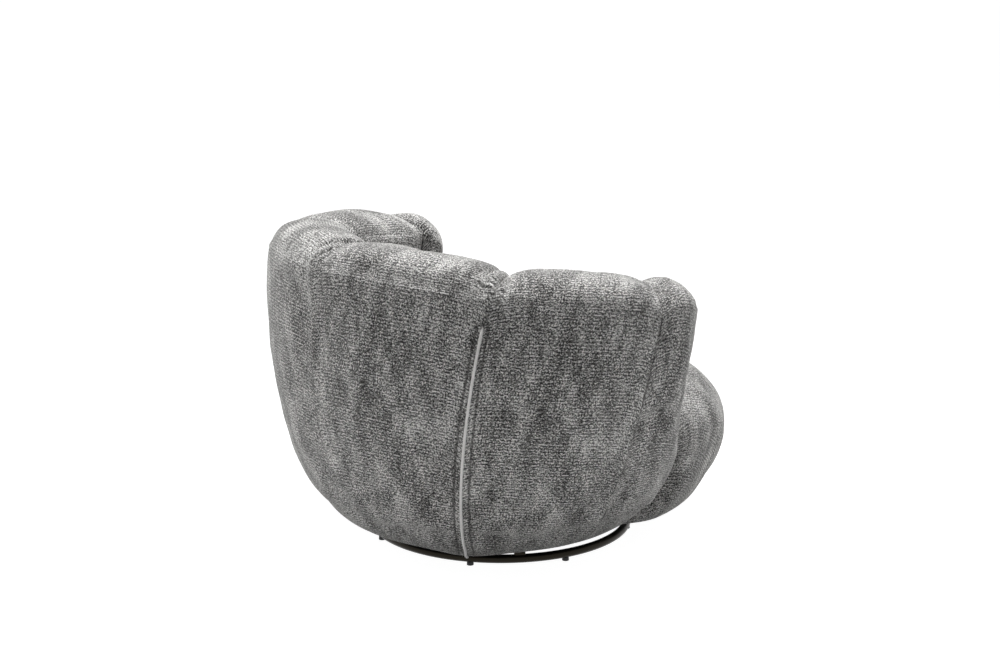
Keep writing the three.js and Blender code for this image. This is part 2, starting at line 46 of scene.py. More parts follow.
view = {
    "distance": 5.4,  # from the middle of the floor ring
    "tilt": 0.2429,  # radians that the camera looks down
    "heading": 38.1,  # degrees, of the direction the camera looks in
    "lens": 81.4,
    "clipEnd": 60,
    "ringHeight": 0.017,
    "ringPlace": (0.000266, 0.080832),  # the ring's middle in the picture, as slopes right and down
}


def makeCamera():
    heading = math.radians(view["heading"])
    right = Vector((-math.sin(heading), -math.cos(heading), 0))
    away = Vector((math.cos(heading), -math.sin(heading), 0))
    forward = away * math.cos(view["tilt"]) - Vector((0, 0, math.sin(view["tilt"])))
    down = forward.cross(right)
    slopeRight, slopeDown = view["ringPlace"]
    ray = (right * slopeRight + down * slopeDown + forward).normalized()
    place = Vector((0, 0, view["ringHeight"])) - ray * view["distance"]
    lens = bpy.data.cameras.new("photoCamera")
    lens.lens = view["lens"]
    lens.clip_end = view["clipEnd"]
    camera = bpy.data.objects.new("photoCamera", lens)
    turn = Matrix((right, -down, -forward)).transposed()
    camera.matrix_world = Matrix.Translation(place) @ turn.to_4x4()
    bpy.context.collection.objects.link(camera)
    bpy.context.scene.camera = camera
    return right, away


right, away = makeCamera()
print("camera placed")


# Small helpers for meshes and numbers

def newPiece(name, bm, material, body, smooth=True):
    mesh = bpy.data.meshes.new(name)
    bmesh.ops.recalc_face_normals(bm, faces=bm.faces)
    bm.to_mesh(mesh)
    bm.free()
    for face in mesh.polygons:
        face.use_smooth = smooth
    mesh.materials.append(material)
    piece = bpy.data.objects.new(name, mesh)
    bpy.context.collection.objects.link(piece)
    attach(piece, body)
    return piece


def bridgeRings(bm, rings):
    for first, second in zip(rings, rings[1:]):
        edges = set()
        for ring in (set(first), set(second)):
            edges |= {edge for vert in ring for edge in vert.link_edges if edge.other_vert(vert) in ring}
        bmesh.ops.bridge_loops(bm, edges=list(edges))


def bevelEdges(bm, edges, width):
    bmesh.ops.bevel(
        bm, geom=edges, offset=width, offset_type="OFFSET", affect="EDGES",
        segments=3, profile=0.5, material=-1)


def lerp(low, high, share):
    return low + (high - low) * share


def ramp(value, start, width):
    # 0 at the start and 1 a width further on, or further back where the width is below 0
    return np.clip((value - start) / width, 0, 1)


def eased(share):
    return share * share * (3 - 2 * share)


def evened(values, reach):
    # smoothed along the first axis
    flat = np.pad(values.reshape(len(values), -1), ((reach, reach), (0, 0)), mode="edge")
    kernel = np.hanning(2 * reach + 3)[1:-1]
    kernel = kernel / kernel.sum()
    smooth = np.stack([np.convolve(column, kernel, mode="valid") for column in flat.T], axis=1)
    return smooth.reshape(values.shape)


def evenedRound(values, reach):
    # the same for values that close into a ring
    return evened(np.concatenate([values[-reach:], values, values[:reach]]), reach)[reach:-reach]


def evenedBothWays(values, reach):
    return evened(np.swapaxes(evened(np.swapaxes(values, 0, 1), reach), 0, 1), reach)


def newGrid(columns, rows):
    # a flat grid, with the column and row of each of its points
    bm = bmesh.new()
    bmesh.ops.create_grid(bm, x_segments=columns, y_segments=rows, size=0.5)
    return bm, [(round((vert.co.x + 0.5) * columns), round((vert.co.y + 0.5) * rows)) for vert in bm.verts]


# Material helpers

def newMaterial(name):
    material = bpy.data.materials.new(name)
    material.use_nodes = True
    nodes = material.node_tree.nodes
    nodes.clear()
    output = nodes.new("ShaderNodeOutputMaterial")
    shader = nodes.new("ShaderNodeBsdfPrincipled")
    material.node_tree.links.new(shader.outputs["BSDF"], output.inputs["Surface"])
    return material, shader


def newGroup(name, inputs, outputs):
    group = bpy.data.node_groups.new(name, "ShaderNodeTree")
    for label, kind, value in inputs:
        socket = group.interface.new_socket(name=label, in_out="INPUT", socket_type=kind)
        if value is not None:
            socket.default_value = value
    for label, kind in outputs:
        group.interface.new_socket(name=label, in_out="OUTPUT", socket_type=kind)
    return group, group.nodes.new("NodeGroupInput"), group.nodes.new("NodeGroupOutput")


def mathNode(tree, operation, first, second=None, third=None):
    node = tree.nodes.new("ShaderNodeMath")
    node.operation = operation
    for socket, value in zip(node.inputs, (first, second, third)):
        if value is None:
            continue
        if isinstance(value, (int, float)):
            socket.default_value = value
        else:
            tree.links.new(value, socket)
    return node.outputs[0]


def weightedSum(tree, values, weights):
    total = 0
    for name, weight in weights.items():
        total = mathNode(tree, "MULTIPLY_ADD", values[name], weight, total)
    return total


def mixColour(tree, factor, first, second):
    node = tree.nodes.new("ShaderNodeMix")
    node.data_type = "RGBA"
    for socket, value in zip((node.inputs[0], node.inputs[6], node.inputs[7]), (factor, first, second)):
        if isinstance(value, (int, float, tuple)):
            socket.default_value = value
        else:
            tree.links.new(value, socket)
    return node.outputs[2]


def stretched(tree, vector, scale):
    node = tree.nodes.new("ShaderNodeMapping")
    node.inputs["Scale"].default_value = scale
    tree.links.new(vector, node.inputs["Vector"])
    return node.outputs["Vector"]


def noiseAt(tree, vector, scale, detail=2.0, roughness=0.5):
    node = tree.nodes.new("ShaderNodeTexNoise")
    node.inputs["Scale"].default_value = scale
    node.inputs["Detail"].default_value = detail
    node.inputs["Roughness"].default_value = roughness
    tree.links.new(vector, node.inputs["Vector"])
    return node.outputs["Fac"]


def steps(tree, value, low, high):
    node = tree.nodes.new("ShaderNodeMapRange")
    node.interpolation_type = "SMOOTHSTEP"
    node.inputs["From Min"].default_value = low
    node.inputs["From Max"].default_value = high
    tree.links.new(value, node.inputs["Value"])
    return node.outputs["Result"]


# Chenille: crosswise ribs of pile in dark and light flecks, on a cloth map in metres. The near-white flecks
# are partly pale pile and partly painted sheen glints

chenille = {
    "darkColour": (0.030, 0.029, 0.028, 1),
    "middleColour": (0.215, 0.211, 0.206, 1),
    # near white: partly the pile's own pale flecks, partly painted sheen glints
    "lightColour": (0.90, 0.89, 0.87, 1),
    "weftStreaks": (110, 300, 1),  # repeats for each metre, along and across the rows
    "warpStreaks": (270, 110, 1),
    "specks": 310,
    "flecks": (210, 260, 1),
    "crushedPatches": (15, 6, 1),
    "smallPatches": (46, 20, 1),
    "ribPitch": 0.0076,
    "ribWaver": 3.0,
    "ribWaverScale": 1.2,
    "tones": {"weft": 0.26, "warp": 0.13, "specks": 0.52, "patches": 0.20, "small": 0.14, "ribs": 0.055},
    "darkToMiddle": (0.575, 0.655),
    "middleToLight": (0.655, 0.750),
    "brightFlecks": (0.72, 0.82),
    "patchesInFlecks": 0.25,
    "fleckShare": 0.55,
    "heights": {"ribs": 0.14, "weft": 0.5, "specks": 0.5, "warp": 0.25},
    "foldShade": 0.85,
    "roughness": 0.92,
    "sheen": 0.35,
    "sheenRoughness": 0.45,
    "sheenTint": (0.9, 0.9, 0.88, 1),
    "specular": 0.25,
    "bump": 0.0011,
}


def makeChenilleGroup():
    group, source, result = newGroup(
        "chenilleWeave",
        [("Vector", "NodeSocketVector", None),
         ("Dark", "NodeSocketColor", chenille["darkColour"]),
         ("Middle", "NodeSocketColor", chenille["middleColour"]),
         ("Light", "NodeSocketColor", chenille["lightColour"])],
        [("Color", "NodeSocketColor"), ("Height", "NodeSocketFloat")])
    at = source.outputs["Vector"]
    ribs = group.nodes.new("ShaderNodeTexWave")
    ribs.wave_type = "BANDS"
    ribs.bands_direction = "Y"
    ribs.inputs["Scale"].default_value = 1
    ribs.inputs["Distortion"].default_value = chenille["ribWaver"]
    ribs.inputs["Detail"].default_value = 2
    ribs.inputs["Detail Scale"].default_value = chenille["ribWaverScale"]
    ribTurns = 2 * math.pi / chenille["ribPitch"] / 20  # the wave texture repeats 20 times in 2 pi
    group.links.new(stretched(group, at, (ribTurns / 3, ribTurns, 1)), ribs.inputs["Vector"])
    pile = {
        "weft": noiseAt(group, stretched(group, at, chenille["weftStreaks"]), 1.0),
        "warp": noiseAt(group, stretched(group, at, chenille["warpStreaks"]), 1.0),
        "specks": noiseAt(group, at, chenille["specks"], 1.0),
        "patches": noiseAt(group, stretched(group, at, chenille["crushedPatches"]), 1.0, 3.0, 0.6),
        "small": noiseAt(group, stretched(group, at, chenille["smallPatches"]), 1.0, 3.0, 0.65),
        "ribs": ribs.outputs["Fac"],
    }
    flecks = noiseAt(group, stretched(group, at, chenille["flecks"]), 1.0, 1.0)
    flecks = mathNode(group, "MULTIPLY_ADD", pile["patches"], chenille["patchesInFlecks"], flecks)
    flecks = steps(group, flecks, *chenille["brightFlecks"])
    # near-white flecks, partly pale pile and partly painted sheen glints
    paleFlecksAndSheen = mathNode(group, "MULTIPLY", flecks, chenille["fleckShare"])
    tone = weightedSum(group, pile, chenille["tones"])
    toMiddle = steps(group, tone, *chenille["darkToMiddle"])
    toLight = steps(group, tone, *chenille["middleToLight"])
    colour = mixColour(group, toMiddle, source.outputs["Dark"], source.outputs["Middle"])
    colour = mixColour(group, toLight, colour, source.outputs["Light"])
    colour = mixColour(group, paleFlecksAndSheen, colour, source.outputs["Light"])
    group.links.new(colour, result.inputs["Color"])
    group.links.new(weightedSum(group, pile, chenille["heights"]), result.inputs["Height"])
    return group


chenilleGroup = makeChenilleGroup()


def makeChenille(name):
    material, shader = newMaterial(name)
    tree = material.node_tree
    cloth = tree.nodes.new("ShaderNodeUVMap")
    cloth.uv_map = "cloth"
    weave = tree.nodes.new("ShaderNodeGroup")
    weave.node_tree = chenilleGroup
    tree.links.new(cloth.outputs["UV"], weave.inputs["Vector"])
    for label, key in (("Dark", "darkColour"), ("Middle", "middleColour"), ("Light", "lightColour")):
        weave.inputs[label].default_value = chenille[key]
    # painted shade: the cloth is mixed toward the dark colour down in the creases, pleats and along the
    # stitches
    paintedShade = tree.nodes.new("ShaderNodeAttribute")
    paintedShade.attribute_name = "paintedShade"
    darker = mathNode(tree, "MULTIPLY", paintedShade.outputs["Fac"], chenille["foldShade"])
    colour = mixColour(tree, darker, weave.outputs["Color"], chenille["darkColour"])
    tree.links.new(colour, shader.inputs["Base Color"])
    bump = tree.nodes.new("ShaderNodeBump")
    bump.inputs["Distance"].default_value = chenille["bump"]
    bump.inputs["Strength"].default_value = 1
    tree.links.new(weave.outputs["Height"], bump.inputs["Height"])
    tree.links.new(bump.outputs["Normal"], shader.inputs["Normal"])
    shader.inputs["Roughness"].default_value = chenille["roughness"]
    shader.inputs["Sheen Weight"].default_value = chenille["sheen"]
    shader.inputs["Sheen Roughness"].default_value = chenille["sheenRoughness"]
    shader.inputs["Sheen Tint"].default_value = chenille["sheenTint"]
    shader.inputs["Specular IOR Level"].default_value = chenille["specular"]
    return material


chenilleCloth = makeChenille("chenille_cloth")
print("fabric made")


# Metal, plastic, timber, webbing and thread

grain = {
    "detail": 3,
    "broadScale": 14,
    "fineShare": 0.5,
    "broadShare": 0.5,
    "mask": (0.38, 0.62),
}


def makeGrainGroup():
    group, source, result = newGroup(
        "fineGrain",
        [("Vector", "NodeSocketVector", None),
         ("Scale", "NodeSocketFloat", 400.0),
         ("Dark", "NodeSocketColor", (0, 0, 0, 1)),
         ("Light", "NodeSocketColor", (1, 1, 1, 1)),
         ("Roughness Low", "NodeSocketFloat", 0.3),
         ("Roughness High", "NodeSocketFloat", 0.6)],
        [("Color", "NodeSocketColor"), ("Roughness", "NodeSocketFloat"), ("Height", "NodeSocketFloat")])
    fine = group.nodes.new("ShaderNodeTexNoise")
    fine.inputs["Detail"].default_value = grain["detail"]
    group.links.new(source.outputs["Vector"], fine.inputs["Vector"])
    group.links.new(source.outputs["Scale"], fine.inputs["Scale"])
    broad = noiseAt(group, source.outputs["Vector"], grain["broadScale"], 4.0, 0.6)
    values = {"broad": broad, "fine": fine.outputs["Fac"]}
    tone = weightedSum(group, values, {"broad": grain["broadShare"], "fine": grain["fineShare"]})
    mask = steps(group, tone, *grain["mask"])
    colour = mixColour(group, mask, source.outputs["Dark"], source.outputs["Light"])
    low = source.outputs["Roughness Low"]
    spread = mathNode(group, "SUBTRACT", source.outputs["Roughness High"], low)
    group.links.new(colour, result.inputs["Color"])
    group.links.new(mathNode(group, "MULTIPLY_ADD", mask, spread, low), result.inputs["Roughness"])
    group.links.new(fine.outputs["Fac"], result.inputs["Height"])
    return group


grainGroup = makeGrainGroup()


def makeGrained(name, dark, light, scale, rough, bumpDistance, metallic=0, stretch=(1, 1, 1)):
    material, shader = newMaterial(name)
    tree = material.node_tree
    place = tree.nodes.new("ShaderNodeTexCoord")
    surface = tree.nodes.new("ShaderNodeGroup")
    surface.node_tree = grainGroup
    tree.links.new(stretched(tree, place.outputs["Object"], stretch), surface.inputs["Vector"])
    surface.inputs["Scale"].default_value = scale
    surface.inputs["Dark"].default_value = dark
    surface.inputs["Light"].default_value = light
    surface.inputs["Roughness Low"].default_value = rough[0]
    surface.inputs["Roughness High"].default_value = rough[1]
    tree.links.new(surface.outputs["Color"], shader.inputs["Base Color"])
    tree.links.new(surface.outputs["Roughness"], shader.inputs["Roughness"])
    bump = tree.nodes.new("ShaderNodeBump")
    bump.inputs["Distance"].default_value = bumpDistance
    tree.links.new(surface.outputs["Height"], bump.inputs["Height"])
    tree.links.new(bump.outputs["Normal"], shader.inputs["Normal"])
    shader.inputs["Metallic"].default_value = metallic
    return material


powderCoat = makeGrained(
    "powder_coat_black", dark=(0.004, 0.004, 0.004, 1), light=(0.011, 0.010, 0.009, 1),
    scale=900, rough=(0.26, 0.40), bumpDistance=0.0002)
coat = powderCoat.node_tree.nodes["Principled BSDF"]
coat.inputs["Specular IOR Level"].default_value = 0.22
coat.inputs["Specular Tint"].default_value = (1.0, 0.86, 0.62, 1)
zincPlate = makeGrained(
    "zinc_plate", dark=(0.30, 0.31, 0.33, 1), light=(0.52, 0.53, 0.55, 1),
    scale=260, rough=(0.25, 0.42), bumpDistance=0.00005, metallic=1)
glidePlastic = makeGrained(
    "glide_plastic_black", dark=(0.010, 0.010, 0.011, 1), light=(0.022, 0.022, 0.023, 1),
    scale=700, rough=(0.5, 0.65), bumpDistance=0.0001)
timber = makeGrained(
    "plywood_and_beech", dark=(0.30, 0.19, 0.105, 1), light=(0.52, 0.36, 0.21, 1),
    scale=30, rough=(0.6, 0.8), bumpDistance=0.0002, stretch=(1, 9, 14))
webbing = makeGrained(
    "elastic_webbing", dark=(0.020, 0.020, 0.022, 1), light=(0.050, 0.050, 0.052, 1),
    scale=120, rough=(0.8, 0.95), bumpDistance=0.0004, stretch=(6, 6, 1))
dustCloth = makeGrained(
    "dust_cloth_black", dark=(0.008, 0.008, 0.008, 1), light=(0.020, 0.020, 0.020, 1),
    scale=600, rough=(0.85, 0.98), bumpDistance=0.0003)
# the piping is cut on the bias from the smooth side of the cloth; its near-white colour is a painted
# highlight for the light its round smooth face reflects
pipingPaintedHighlight = makeGrained(
    "piping_painted_highlight", dark=(0.90, 0.89, 0.87, 1), light=(0.98, 0.97, 0.95, 1),
    scale=260, rough=(0.30, 0.42), bumpDistance=0.0001)
pipingPaintedHighlight.node_tree.nodes["Principled BSDF"].inputs["Sheen Weight"].default_value = 0.8
threadCloth = makeGrained(
    "sewing_thread", dark=(0.20, 0.20, 0.19, 1), light=(0.34, 0.33, 0.32, 1),
    scale=800, rough=(0.6, 0.8), bumpDistance=0.0001)
print("hard materials made")


# Wall of the tub, as one surface that each cushion takes its own stretch of

wall = {
    "crestHalfWidth": 0.475,
    "crestHalfDepth": 0.455,
    "centreY": -0.030,
    "footSetBack": 0.084,  # the foot stands further back than the crest
    "thickness": 0.200,
    "backCrest": 0.752,
    "sideCrest": 0.682,
    "crestSwell": 0.004,
    "creases": (0, 48, 91),  # degrees from the back, at the crest
    "footCreases": (0, 41, 85),
    "leans": (0, 3, 5),  # degrees that a crease lies further back on the outside, and further forward inside
    "swings": (0, 2.3, 0),  # degrees that a crease turns away from the back at the top of the outside
    "swingBottom": 0.600,
    "swingTop": 0.695,
    "armEnd": 105.5,
    "footArmEnd": 132,
    "armEndPower": 2.4,
    "crownRise": 0.061,
    "undercut": 0.269,
    "undercutPower": 1.78,
    "bellyFloor": 0.046,
    "footSpread": 0.105,
    "footSpreadHeight": 0.330,
    "foot": 0.052,
    "hemSag": 0.009,  # the cover hangs lower round its closing seams
    "hemReach": 13,  # degrees on both sides of the seam
    "hemPower": 5,
    "depthCrest": 0.046,
    "depthInner": 0.034,
    "depthEvening": 5,  # rows that the creases' depths are evened over
    "bulgePower": 2.6,
    "shoulderPower": 3.3,  # the back cushions are fuller beside their closing seams
    "armEndLength": 0.130,
    "armEndShare": 0.985,
    "armEndDrop": 0.076,
    "armEndSquareness": 1.9,
    "armInnerSquareness": 4.0,  # the inner front corner is fuller above the seat
    "armInnerFrom": 0.440,
    "armInnerOver": 0.100,
    "armDip": 0.015,
    "armFullness": 5.5,  # degrees that the arm's front stands further out, most at this share of its height
    "armFullest": 0.25,
    "armFullOver": 0.16,
    "closedGap": 0.0003,
    "openGap": 0.0020,
    "lowerRows": 124,
    "crownRows": 92,
    "innerRows": 70,
    "underRows": 6,
    "mergeReach": 0.000005,  # points closer than this become one
}

# how deep each crease is on the outside, at places from the foot (-1) over the shoulder (0) to the crest (1)
outerDepths = (
    ((-1, 0.0004), (-0.12, 0.0008), (0, 0.0018), (0.2, 0.0040),
     (0.33, 0.0105), (0.5, 0.0210), (0.75, 0.0330), (1, 0.042)),
    ((-1, 0.0004), (-0.10, 0.0010), (0, 0.0030), (0.14, 0.0060), (0.25, 0.0120),
     (0.36, 0.0250), (0.5, 0.0320), (0.75, 0.0410), (1, 0.048)),
    ((-1, 0.0004), (-0.25, 0.0008), (-0.08, 0.0030), (0, 0.0070),
     (0.3, 0.0180), (0.6, 0.0290), (1, 0.042)),
)

# places over which each crease closes on the outside, from touching to open
creaseCloses = ((0.20, 0.45), (0.30, 0.55), (0.05, 0.4))

cushionParts = ("back", "side", "arm")


def crestHeight(degrees):
    turn = np.pi * degrees / wall["armEnd"]
    crest = lerp(wall["sideCrest"], wall["backCrest"], (1 + np.cos(turn)) / 2)
    return crest + wall["crestSwell"] * np.sin(turn)


def outerOffset(shoulder, height):
    power = wall["undercutPower"]
    drop = ramp(height, shoulder, wall["bellyFloor"] - shoulder)
    return wall["thickness"] / 2 - wall["undercut"] * (1 - (1 - drop ** power) ** (1 / power))


def innerOffset(height):
    share = np.maximum(0, (wall["footSpreadHeight"] - height) / (wall["footSpreadHeight"] - wall["foot"]))
    return -wall["thickness"] / 2 - wall["footSpread"] * share * share


def hemDrop(degrees):
    return wall["hemSag"] * np.exp(-((degrees - wall["creases"][1]) / wall["hemReach"]) ** 2)


def wallRise(height):
    # 0 at the foot and 1 from the lowest shoulder up
    return ramp(height, wall["foot"], wall["sideCrest"] - wall["crownRise"] - wall["foot"])


def sectionPlaces():
    # -1 to 0 up the outside, 0 to 2 over the crown, 2 to 3 down the inside, 3 to 4 back under the foot
    outer = np.linspace(-1, 0, wall["lowerRows"], endpoint=False)
    crown = np.linspace(0, 2, wall["crownRows"], endpoint=False)
    inner = np.linspace(2, 3, wall["innerRows"], endpoint=False)
    under = np.linspace(3, 4, wall["underRows"] + 1)
    return np.concatenate([outer, crown, inner, under])


def creaseGap(number, place):
    low, high = creaseCloses[number]
    return lerp(wall["closedGap"], wall["openGap"], ramp(place, low, high - low))


def creaseDepth(number, place):
    # a row of depths round the section; the arms' front ends have no crease
    if number >= len(outerDepths):
        return np.zeros_like(place)
    places, depths = zip(*outerDepths[number])
    outside = np.interp(place, places, depths)
    turn = np.pi / 2 * np.clip(place, 0, 2)
    over = lerp(wall["depthInner"], wall["depthCrest"], np.sin(turn) ** 2)
    share = 1 - np.cos(np.pi / 2 * np.clip(3 - place, 0, 1))
    inside = wall["depthInner"] * np.sqrt(share)
    depth = np.where(place < 1, outside, np.where(place < 2, over, inside))
    return evened(depth, wall["depthEvening"])


def wallSection(degrees, place):
    # offset from the crest line, height, inward normal and middle, for each place round the section
    degrees, place = np.broadcast_arrays(degrees, place)
    crest = crestHeight(degrees)
    shoulder = crest - wall["crownRise"]
    half = wall["thickness"] / 2
    up = np.where(place < 0, place + 1, np.clip(3 - place, 0, 1))
    foot = wall["foot"]
    lowHeight = shoulder - (shoulder - foot) * np.cos(np.pi / 2 * up)
    turn = np.pi / 2 * np.clip(place, 0, 2)
    outside = outerOffset(shoulder, lowHeight)
    inside = innerOffset(lowHeight)
    onCrown = (place >= 0) & (place <= 2)
    offset = np.where(onCrown, half * np.cos(turn), np.where(place < 0, outside, inside))
    height = np.where(onCrown, shoulder + wall["crownRise"] * np.sin(turn), lowHeight)
    rise = 0.001
    slope = (outerOffset(shoulder, lowHeight + rise) - outside) / rise
    normalX = np.where(onCrown, -np.cos(turn) / half, np.where(place < 0, -1, 1))
    normalZ = np.where(onCrown, -np.sin(turn) / wall["crownRise"], np.where(place < 0, slope, 0))
    size = np.hypot(normalX, normalZ)
    middle = np.where(onCrown, 0, (outside + inside) / 2)
    # under the foot, straight across from the inner edge to the outer one
    underShare = np.clip(place - 3, 0, 1)
    footOuter = outerOffset(shoulder, foot)
    footInner = innerOffset(foot)
    isUnder = place > 3
    offset = np.where(isUnder, lerp(footInner, footOuter, underShare), offset)
    height = np.where(isUnder, foot, height)
    normalX = np.where(isUnder, -1, normalX / size)
    normalZ = np.where(isUnder, 0, normalZ / size)
    # the outside and the outer part of the underside hang a little lower round the closing seams
    low = np.where(place < 0, (shoulder - lowHeight) / (shoulder - foot), underShare)
    height = height - hemDrop(degrees) * np.where((place < 0) | isUnder, low ** wall["hemPower"], 0)
    return offset, height, normalX, normalZ, middle


def wallPoints(side, degrees, offset, height):
    turn = np.radians(degrees)
    normalX = np.sin(turn) / wall["crestHalfWidth"]
    normalY = np.cos(turn) / wall["crestHalfDepth"]
    size = np.hypot(normalX, normalY)
    x = wall["crestHalfWidth"] * np.sin(turn) + normalX / size * offset
    y = wall["centreY"] + wall["crestHalfDepth"] * np.cos(turn) + normalY / size * offset
    return np.stack([side * x, y + wall["footSetBack"] * (1 - wallRise(height)), height], axis=-1)


def creaseAngle(number, height, offset):
    angle = lerp(wall["footCreases"][number], wall["creases"][number], wallRise(height))
    outward = np.clip(2 * offset / wall["thickness"], -1, 1)
    high = ramp(height, wall["swingBottom"], wall["swingTop"] - wall["swingBottom"])
    swing = wall["swings"][number] * eased(high) * np.maximum(0, outward)
    return angle - wall["leans"][number] * outward + swing


def armEndAngle(rise):
    fuller = wall["armFullness"] * np.exp(-((rise - wall["armFullest"]) / wall["armFullOver"]) ** 2)
    return lerp(wall["armEnd"], wall["footArmEnd"], (1 - rise) ** wall["armEndPower"]) + fuller


def wallSurface(side, number, along, place):
    isArm = cushionParts[number] == "arm"
    farAngle = wall["armEnd"] if isArm else wall["creases"][number + 1]
    along = along[:, None]
    share = (1 + along) / 2
    offset, height, normalX, normalZ, middle = wallSection(
        lerp(wall["creases"][number], farAngle, share), place[None, :])
    depth = np.where(along < 0, creaseDepth(number, place)[None, :], creaseDepth(number + 1, place)[None, :])
    power = np.where((number == 0) & (along > 0), wall["shoulderPower"], wall["bulgePower"])
    bulge = 1 - (1 - np.abs(along) ** power) ** (1 / power)
    rise = wallRise(height)
    halfTurn = np.degrees(0.5 / wall["crestHalfDepth"])
    start = creaseAngle(number, height, offset) + creaseGap(number, place)[None, :] * halfTurn
    if isArm:
        end = armEndAngle(rise)
    else:
        end = creaseAngle(number + 1, height, offset) - creaseGap(number + 1, place)[None, :] * halfTurn
    inset = depth * bulge
    across = offset + normalX * inset
    level = height + normalZ * inset
    if isArm:
        span = np.radians(end - start) * wall["crestHalfWidth"]
        left = np.maximum(0, 1 - (1 - share) * span / np.minimum(wall["armEndLength"], span))
        high = ramp(height, wall["armInnerFrom"], wall["armInnerOver"]) * (across < middle)
        power = lerp(wall["armEndSquareness"], wall["armInnerSquareness"], high)
        outerPower = wall["armEndSquareness"]
        thinning = 1 - (1 - left ** power) ** (1 / power)
        drop = 1 - (1 - left ** outerPower) ** (1 / outerPower)
        across = lerp(across, middle, wall["armEndShare"] * thinning)
        level = level - (wall["armEndDrop"] * drop + wall["armDip"] * (1 - share)) * rise * rise
    level = np.maximum(wall["foot"] - hemDrop(lerp(wall["creases"][number], farAngle, share)), level)
    return wallPoints(side, lerp(start, end, share), across, level)


def lengthsAlong(points, axis, origin):
    # cloth length from one row or column, along the surface
    step = np.linalg.norm(np.diff(points, axis=axis), axis=-1)
    total = np.concatenate([np.zeros_like(step.take([0], axis)), np.cumsum(step, axis)], axis)
    return total - total.take([origin], axis)


def surfaceNormals(points):
    across = np.cross(np.gradient(points, axis=0), np.gradient(points, axis=1))
    return across / np.maximum(1e-12, np.linalg.norm(across, axis=-1, keepdims=True))


def bumpsAt(points, size, seed):
    flat = points.reshape(-1, 3) / size + seed
    return np.array([noise.noise(Vector(point)) for point in flat]).reshape(points.shape[:-1])


# Gathers where two cushions are drawn together: short pleats that start from the crease at one end of a
# cushion. Each has its place on the section, its direction in degrees above the rows, its length and depth.
gathers = {
    ("back", 1): {
        "width": 0.0030,
        "pleats": (
            (0.29, 3, 0.062, 0.0095), (0.41, 17, 0.050, 0.0085), (0.56, 29, 0.046, 0.0085),
            (0.72, 40, 0.040, 0.0070), (0.17, -9, 0.030, 0.0040)),
    },
    ("side", -1): {
        "width": 0.0028,
        "pleats": ((0.29, 2, 0.034, 0.0050), (0.44, 22, 0.030, 0.0050), (0.62, 38, 0.026, 0.0040)),
    },
    ("back", -1): {
        "width": 0.0030,
        "onlySide": 1,
        "pleats": (
            (0.10, 14, 0.030, 0.0055), (0.26, 26, 0.034, 0.0075), (0.41, 37, 0.034, 0.0080),
            (0.56, 46, 0.032, 0.0075), (0.72, 53, 0.028, 0.0060)),
    },
}

pleat = {
    "curl": 3,  # radians for each metre
    "width": 0.7,  # of the gather's own width at the crease, and what it gains by its end
    "widening": 0.7,
    "startLength": 0.003,
    "ridge": 0.35,  # share of the depth that stands up on both sides
    "ridgeAt": 2,
    # how strongly a pleat's groove is painted with shade
    "shade": 1.5,
}


def pleatShift(gather, fromEnd, lengthDown, column, place):
    # how far the pleats draw the cloth in, and how deep in a fold each point lies from 0 to 1, which is
    # painted as shade
    shift = np.zeros_like(fromEnd)
    paintedShade = np.zeros_like(fromEnd)
    for start, degrees, length, depth in gather["pleats"]:
        above = lengthDown - np.interp(start, place, lengthDown[column])
        reach = np.hypot(fromEnd, above)
        turn = np.arctan2(above, fromEnd) - np.radians(degrees) - pleat["curl"] * (reach - length / 2)
        ahead, across = reach * np.cos(turn), reach * np.sin(turn)
        width = gather["width"] * (pleat["width"] + pleat["widening"] * reach / length)
        share = np.clip(1 - (ahead / length) ** 2, 0, 1) * ramp(ahead, 0, pleat["startLength"])
        groove = share * np.exp(-(across / width) ** 2)
        ridge = share * np.exp(-((np.abs(across) - pleat["ridgeAt"] * width) / width) ** 2)
        shift = shift - depth * groove + pleat["ridge"] * depth * ridge
        paintedShade = np.maximum(paintedShade, np.clip(pleat["shade"] * groove, 0, 1))
    return shift, paintedShade


softness = {
    "broad": 0.0030,  # height of the broad and the small bumps
    "small": 0.0011,
}


def softBumps(points, sizes, seeds):
    broad = softness["broad"] * bumpsAt(points, sizes[0], seeds[0])
    return broad + softness["small"] * bumpsAt(points, sizes[1], seeds[1])


seam = {
    "weltRadius": 0.0033,
    "proud": 0.0026,  # how far its middle stands outside the cushions
    "top": -0.055,  # where it starts, in the wall's section places
    "bottom": -0.985,
    "pointCount": 90,
    "stitchPitch": 0.0085,
    "stitchLength": 0.0050,
    "stitchRadius": 0.0006,
    "stitchOut": (0.0125, 0.0165),  # from the seam, at the top and lower down
    "stitchOutOver": 0.25,
    "stitchSunk": 0.0016,
    "finePoints": 900,
    "endShrink": 0.35,
    "dip": 0.0030,  # of the cover along the stitches
    "dipWidth": 0.0024,
    "band": 0.0012,  # by which the cover lies lower beside the welt
    "bandWidth": 0.011,
    "bandTop": -0.04,
}


def stitchOut(place):
    return lerp(*seam["stitchOut"], ramp(place, seam["top"], -seam["stitchOutOver"]))


def clothGrid(points, lengthAlong, lengthDown, paintedShade):
    # the cover as a mesh with its cloth map and painted shade, closed where its ends stay open
    bm, where = newGrid(points.shape[0] - 1, points.shape[1] - 1)
    cloth = bm.loops.layers.uv.new("cloth")
    # a layer of painted shade for the creases, pleats and stitches, read by the chenille material
    shade = bm.verts.layers.float.new("paintedShade")
    for face in bm.faces:
        for loop in face.loops:
            i, j = where[loop.vert.index]
            loop[cloth].uv = (lengthAlong[i, j], lengthDown[i, j])
    for vert in bm.verts:
        vert.co = points[where[vert.index]]
        vert[shade] = paintedShade[where[vert.index]]
    bmesh.ops.remove_doubles(bm, verts=bm.verts, dist=wall["mergeReach"])
    openEdges = [edge for edge in bm.edges if edge.is_boundary]
    for edge in openEdges:
        edge.smooth = False
    ends = bmesh.ops.holes_fill(bm, edges=openEdges, sides=0)["faces"]
    bmesh.ops.triangulate(bm, faces=ends)
    return bm
